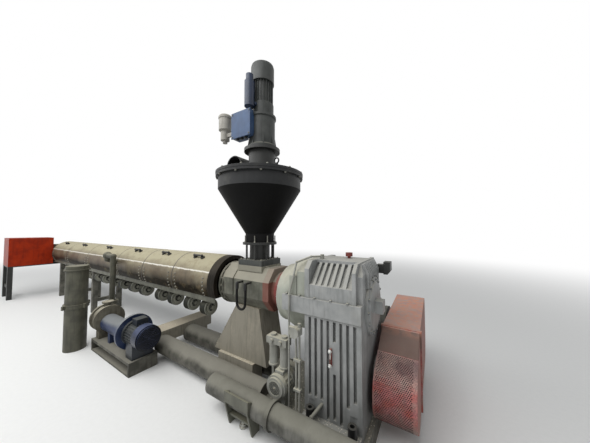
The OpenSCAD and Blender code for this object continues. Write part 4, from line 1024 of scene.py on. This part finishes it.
# the oily shade inside an air inlet
inlet_dark = worn_paint("dark_blower_inlet", "#262723", dust_colour="#55544b", dustiness=0.3, grime=0.3, gloss=0.8)
grow(discs, "blower_inlets", [(x + 0.008, y, z) for x, y, z in blower_places], face_x, "dark_steel", radius=0.040,
     sides=24, thickness=0.001, finish=inlet_dark)
grow(guards, "blower_guards", [(x + 0.011, y, z) for x, y, z in blower_places], face_x, "tube_steel",
     outer_radius=0.043, wire_radius=0.0022, rings=2, spokes=6, finish=pale_rim)
grow(bolts, "blower_hubs", [(x + 0.012, y, z) for x, y, z in blower_places], face_x, "tube_steel", head_radius=0.010,
     finish=pale_rim)
grow(guards, "blower_rims", [(x + 0.002, y, z) for x, y, z in blower_places], face_x, "tube_steel",
     outer_radius=0.086, wire_radius=0.005, rings=1, spokes=0, finish=pale_rim)
print("blowers:", len(blower_places))

# %% [markdown]
# ## The oil gauge
#
# The gearbox shows its oil level in a glass tube between two bright cap nuts.
# The tube is a slim capsule: a cylinder whose ends are rounded by rings of
# falling radius. Real glass in front of a real liquid would cost much time for
# a few pixels, so one material shows both, with a border at the oil's level.

# %% The oil gauge
def capsule(name, low_end, high_end, radius, material, sides=20):
    shape = bmesh.new()
    rows = [(low_end[2] + radius * (1 - math.sin(a)), radius * math.cos(a))
            for a in (math.pi / 2 * k / 6 for k in range(6, -1, -1))]
    rows += [(low_end[2] + high_end[2] - z, r) for z, r in rows[::-1]]
    loops = []
    for z, r in rows[1:-1]:
        loops.append([shape.verts.new((low_end[0] + r * math.cos(t), low_end[1] + r * math.sin(t), z))
                      for t in (2 * math.pi * k / sides for k in range(sides))])
    for a, b in zip(loops, loops[1:]):
        for k in range(sides):
            shape.faces.new((a[k], a[(k + 1) % sides], b[(k + 1) % sides], b[k]))
    shape.faces.new(loops[0])
    shape.faces.new(loops[-1])
    return mesh_piece(name, shape, material, smooth=True)


gauge_low, gauge_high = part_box("oil_level_gauge")
oil_level = gauge_low.z + 0.059
gauge_glass, glass_tree = new_material("gauge_glass_with_oil")
on_gauge = add(glass_tree, "ShaderNodeTexCoord").outputs["Object"]
height = add(glass_tree, "ShaderNodeSeparateXYZ", {0: on_gauge}).outputs[2]
above_oil = add(glass_tree, "ShaderNodeMapRange", {"Value": height, "From Min": oil_level - 0.001,
                                                   "From Max": oil_level + 0.001})
glass = add(glass_tree, "ShaderNodeBsdfPrincipled", {
    "Base Color": coats(glass_tree, linear("#5a2a1c"), [(above_oil, "#b9b4ad")]), "Roughness": 0.12,
    "Coat Weight": 0.6})
add(glass_tree, "ShaderNodeOutputMaterial", {"Surface": glass})
capsule("gauge_tube", (0.0, gauge_low.y + 0.007, gauge_low.z + 0.022), (0.0, gauge_low.y + 0.007, gauge_high.z - 0.022),
        radius=0.0052, material=gauge_glass)
# polished plated brass: the brightest spots of the gearbox
bright_nut = worn_paint("bright_cap_nuts", "#d5d6d3", dust_colour="#b5ad99", dustiness=0.2, grime=0.15, gloss=0.2,
                        metallic=0.9)
grow(bolts, "gauge_cap_nuts", [(0, gauge_low.y, gauge_low.z + 0.012), (0, gauge_low.y, gauge_high.z - 0.012)],
     [(0, -1, 0)] * 2, "oil_unit_grey", head_radius=0.0105, finish=bright_nut)
print("gauge from", round(gauge_low.z, 3), "to", round(gauge_high.z, 3), "oil at", round(oil_level, 3))

# %% [markdown]
# ## The terminal box
#
# The crammer's motor gets its power in the blue box. A screw in each corner
# holds the cover, and the cables would come in through three glands below. The
# bolt tree can make both: a screw has twelve sides, so that it looks round, and
# a gland is a large nut that faces down.

# %% The terminal box
box_low, box_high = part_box("crammer_terminal_box")
cover_right = hopper_axis[0] + 0.036
corners = [(x, box_low.y, z) for x in (box_low.x + 0.016, cover_right - 0.016)
           for z in (box_low.z + 0.018, box_high.z - 0.018)]
grow(bolts, "terminal_box_screws", corners, [(0, -1, 0)] * 4, "blue_paint", head_radius=0.0065, sides=12,
     finish=bolt_zinc)
glands = [(hopper_axis[0] + x, box_low.y + 0.035, box_low.z + 0.006) for x in (-0.17, -0.11, -0.05)]
grow(bolts, "cable_glands", glands, [(0, 0, -1)] * 3, "bolt_black", head_radius=0.017, finish=cap_black)
print("cover screws:", len(corners), "glands:", len(glands))

# %% [markdown]
# ## The cooling ribs of the drive motor
#
# A big motor sheds its heat through thin cast ribs that run along its body,
# with a gap for the terminal box above and the feet below. One rib is a thin
# box. Because every rib looks straight away from the shaft, the aim along
# `facing` already keeps its long side parallel to the shaft, and no turn is
# needed. The fan end gets a wire guard from the tree of the other fans.

# %% The cooling ribs of the drive motor
def rib_tree():
    tree, given = new_tree("rib_row", [
        ("Places", "NodeSocketGeometry", None), ("Length", "NodeSocketFloat", 0.6),
        ("Height", "NodeSocketFloat", 0.02), ("Thickness", "NodeSocketFloat", 0.004),
        ("Turn", "NodeSocketFloat", 0.0), ("Finish", "NodeSocketMaterial", None)])
    size = add(tree, "ShaderNodeCombineXYZ", {"X": given["Length"], "Y": given["Thickness"], "Z": given["Height"]})
    place_and_finish(tree, given, add(tree, "GeometryNodeMeshCube", {"Size": size}))
    return tree


motor_shaft_y, motor_shaft_z, motor_body_r = 0.900, 0.450, 0.250
rib_angles = [side * math.radians(a) for a in range(30, 126, 6) for side in (-1, 1)]
rib_ways = [(0.0, math.sin(a), math.cos(a)) for a in rib_angles]
rib_middle = motor_body_r + 0.008
grow(rib_tree(), "drive_motor_ribs", [(-0.200, motor_shaft_y + rib_middle * y, motor_shaft_z + rib_middle * z)
                                      for _, y, z in rib_ways], rib_ways, "dark_steel", finish=drum_grey)
fan_end_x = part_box("drive_motor")[0].x
grow(guards, "drive_motor_fan_guard", [(fan_end_x - 0.001, motor_shaft_y, motor_shaft_z)], [(-1, 0, 0)], "dark_steel",
     outer_radius=0.205, wire_radius=0.003, rings=9, spokes=8, finish=dark_steel)
print("cooling ribs:", len(rib_angles))

# %% [markdown]
# ## Plastic flakes that have settled
#
# The machine eats washed and shredded film, and some of it always misses the
# hopper. Pale flakes lie on the pedestal, the beam and the foot of the
# gearbox. Geometry Nodes scatter them over the faces that look up, each a thin
# bent chip of 3 to 17 mm, with a fixed seed so that they lie the same way in
# every run. They are few enough to stay real geometry.

# %% Plastic flakes that have settled
def flake_tree():
    tree, given = new_tree("settled_flakes", [
        ("Surface", "NodeSocketGeometry", None), ("Per square metre", "NodeSocketFloat", 2000.0),
        ("Flake size", "NodeSocketFloat", 0.009), ("Seed", "NodeSocketInt", 4), ("Finish", "NodeSocketMaterial", None)])
    upward = add(tree, "ShaderNodeSeparateXYZ", {0: add(tree, "GeometryNodeInputNormal")}).outputs[2]
    level = add(tree, "FunctionNodeCompare", {0: upward, 1: 0.35}, data_type="FLOAT", operation="GREATER_THAN")
    spots = add(tree, "GeometryNodeDistributePointsOnFaces", {
        "Mesh": given["Surface"], "Selection": level, "Density": given["Per square metre"], "Seed": given["Seed"]})
    # a chip is a grid of six points, bent by the square of how far each lies from the middle
    grid = add(tree, "GeometryNodeMeshGrid", {"Size X": 1.0, "Size Y": 0.6, "Vertices X": 3, "Vertices Y": 2})
    across = add(tree, "ShaderNodeSeparateXYZ", {0: add(tree, "GeometryNodeInputPosition")}).outputs[0]
    bend = add(tree, "ShaderNodeMath", {0: across, 1: across}, operation="MULTIPLY")
    lifted = add(tree, "ShaderNodeCombineXYZ", {"Z": bend})
    flake = add(tree, "GeometryNodeSetPosition", {"Geometry": grid, "Offset": lifted})
    spin = add(tree, "FunctionNodeRandomValue", {"Min": 0.0, "Max": 6.28, "Seed": 11}, data_type="FLOAT")
    own_turn = add(tree, "FunctionNodeAxisAngleToRotation", {"Axis": (0.0, 0.0, 1.0), "Angle": spin.outputs["Value"]})
    turned = add(tree, "FunctionNodeRotateRotation", {"Rotation": spots.outputs["Rotation"], "Rotate By": own_turn},
                 rotation_space="LOCAL")
    spread = add(tree, "FunctionNodeRandomValue", {"Min": 0.45, "Max": 1.3, "Seed": 21}, data_type="FLOAT")
    size = add(tree, "ShaderNodeMath", {0: spread.outputs["Value"], 1: given["Flake size"]}, operation="MULTIPLY")
    chips = add(tree, "GeometryNodeInstanceOnPoints", {"Points": spots, "Instance": flake, "Rotation": turned,
                                                       "Scale": size})
    real = add(tree, "GeometryNodeRealizeInstances", {"Geometry": chips})
    done = add(tree, "GeometryNodeSetMaterial", {"Geometry": real, "Material": given["Finish"]})
    add(tree, "NodeGroupOutput", {"Geometry": done})
    return tree


flakes = flake_tree()
# shredded film: milky, thin and without a shine
chip_white = worn_paint("white_film_flakes", "#cfcabb", second="#b8b2a0", dust_colour="#c9c2af", dustiness=0.4,
                        grime_colour="#8a8372", grime=0.3, gloss=0.5)
for k, (node, density, size) in enumerate((("throat_pedestal", 5200, 0.013), ("cross_beam", 1800, 0.009),
                                           ("gearbox_foot", 2500, 0.007), ("gearbox_plinth", 1800, 0.009))):
    under = link_object(node + "_under_flakes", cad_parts[node].data.copy())
    lying = harvest(under, flakes, "flakes_on_" + node, {
        "per_square_metre": density, "flake_size": size, "seed": 30 + k, "finish": chip_white})
    print(lying.name, "has", len(lying.data.polygons), "faces")

# %% [markdown]
# ## The studio floor's finish
#
# The floor is pale and matt, so that it takes the machine's shadow, with a
# faint mottle of about 3 cm, as trowelled concrete under paint has. Far away
# it turns into the white of the background, as a paper sweep does in a photo
# studio, but only where the camera, a mirror or a glass looks at it.

# %% The studio floor's finish
pale, pale_tree = new_material("pale_studio_floor")
on_floor = add(pale_tree, "ShaderNodeTexCoord").outputs["Object"]
mottle = add(pale_tree, "ShaderNodeTexNoise", {"Vector": on_floor, "Scale": 30.0, "Detail": 4.0})
near_floor = add(pale_tree, "ShaderNodeBsdfPrincipled", {
    "Base Color": coats(pale_tree, linear("#e9e9e7"), [(mottle, "#f0f0ee")]), "Roughness": 0.9})
from_middle = add(pale_tree, "ShaderNodeVectorMath", {0: on_floor, 1: (-3.5, 0.0, 0.0)}, operation="DISTANCE")
far_off = add(pale_tree, "ShaderNodeMapRange", {"Value": from_middle.outputs["Value"], "From Min": 4.5,
                                                "From Max": 16.0}, interpolation_type="SMOOTHSTEP")
fading = add(pale_tree, "ShaderNodeMath", {0: far_off, 1: camera_or_mirror(pale_tree)}, operation="MULTIPLY")
white = add(pale_tree, "ShaderNodeEmission", {"Color": (1.0, 1.0, 1.0, 1.0), "Strength": 1.0})
sweep = add(pale_tree, "ShaderNodeMixShader", {0: fading, 1: near_floor, 2: white})
add(pale_tree, "ShaderNodeOutputMaterial", {"Surface": sweep})
floor.data.materials.append(pale)
print("floor is pale")

# %% [markdown]
# ## The view transform
#
# The last cell sets the view transform to Standard, so that colours show as their hex values give them.

# %% The view transform
bpy.context.scene.view_settings.view_transform = "Standard"
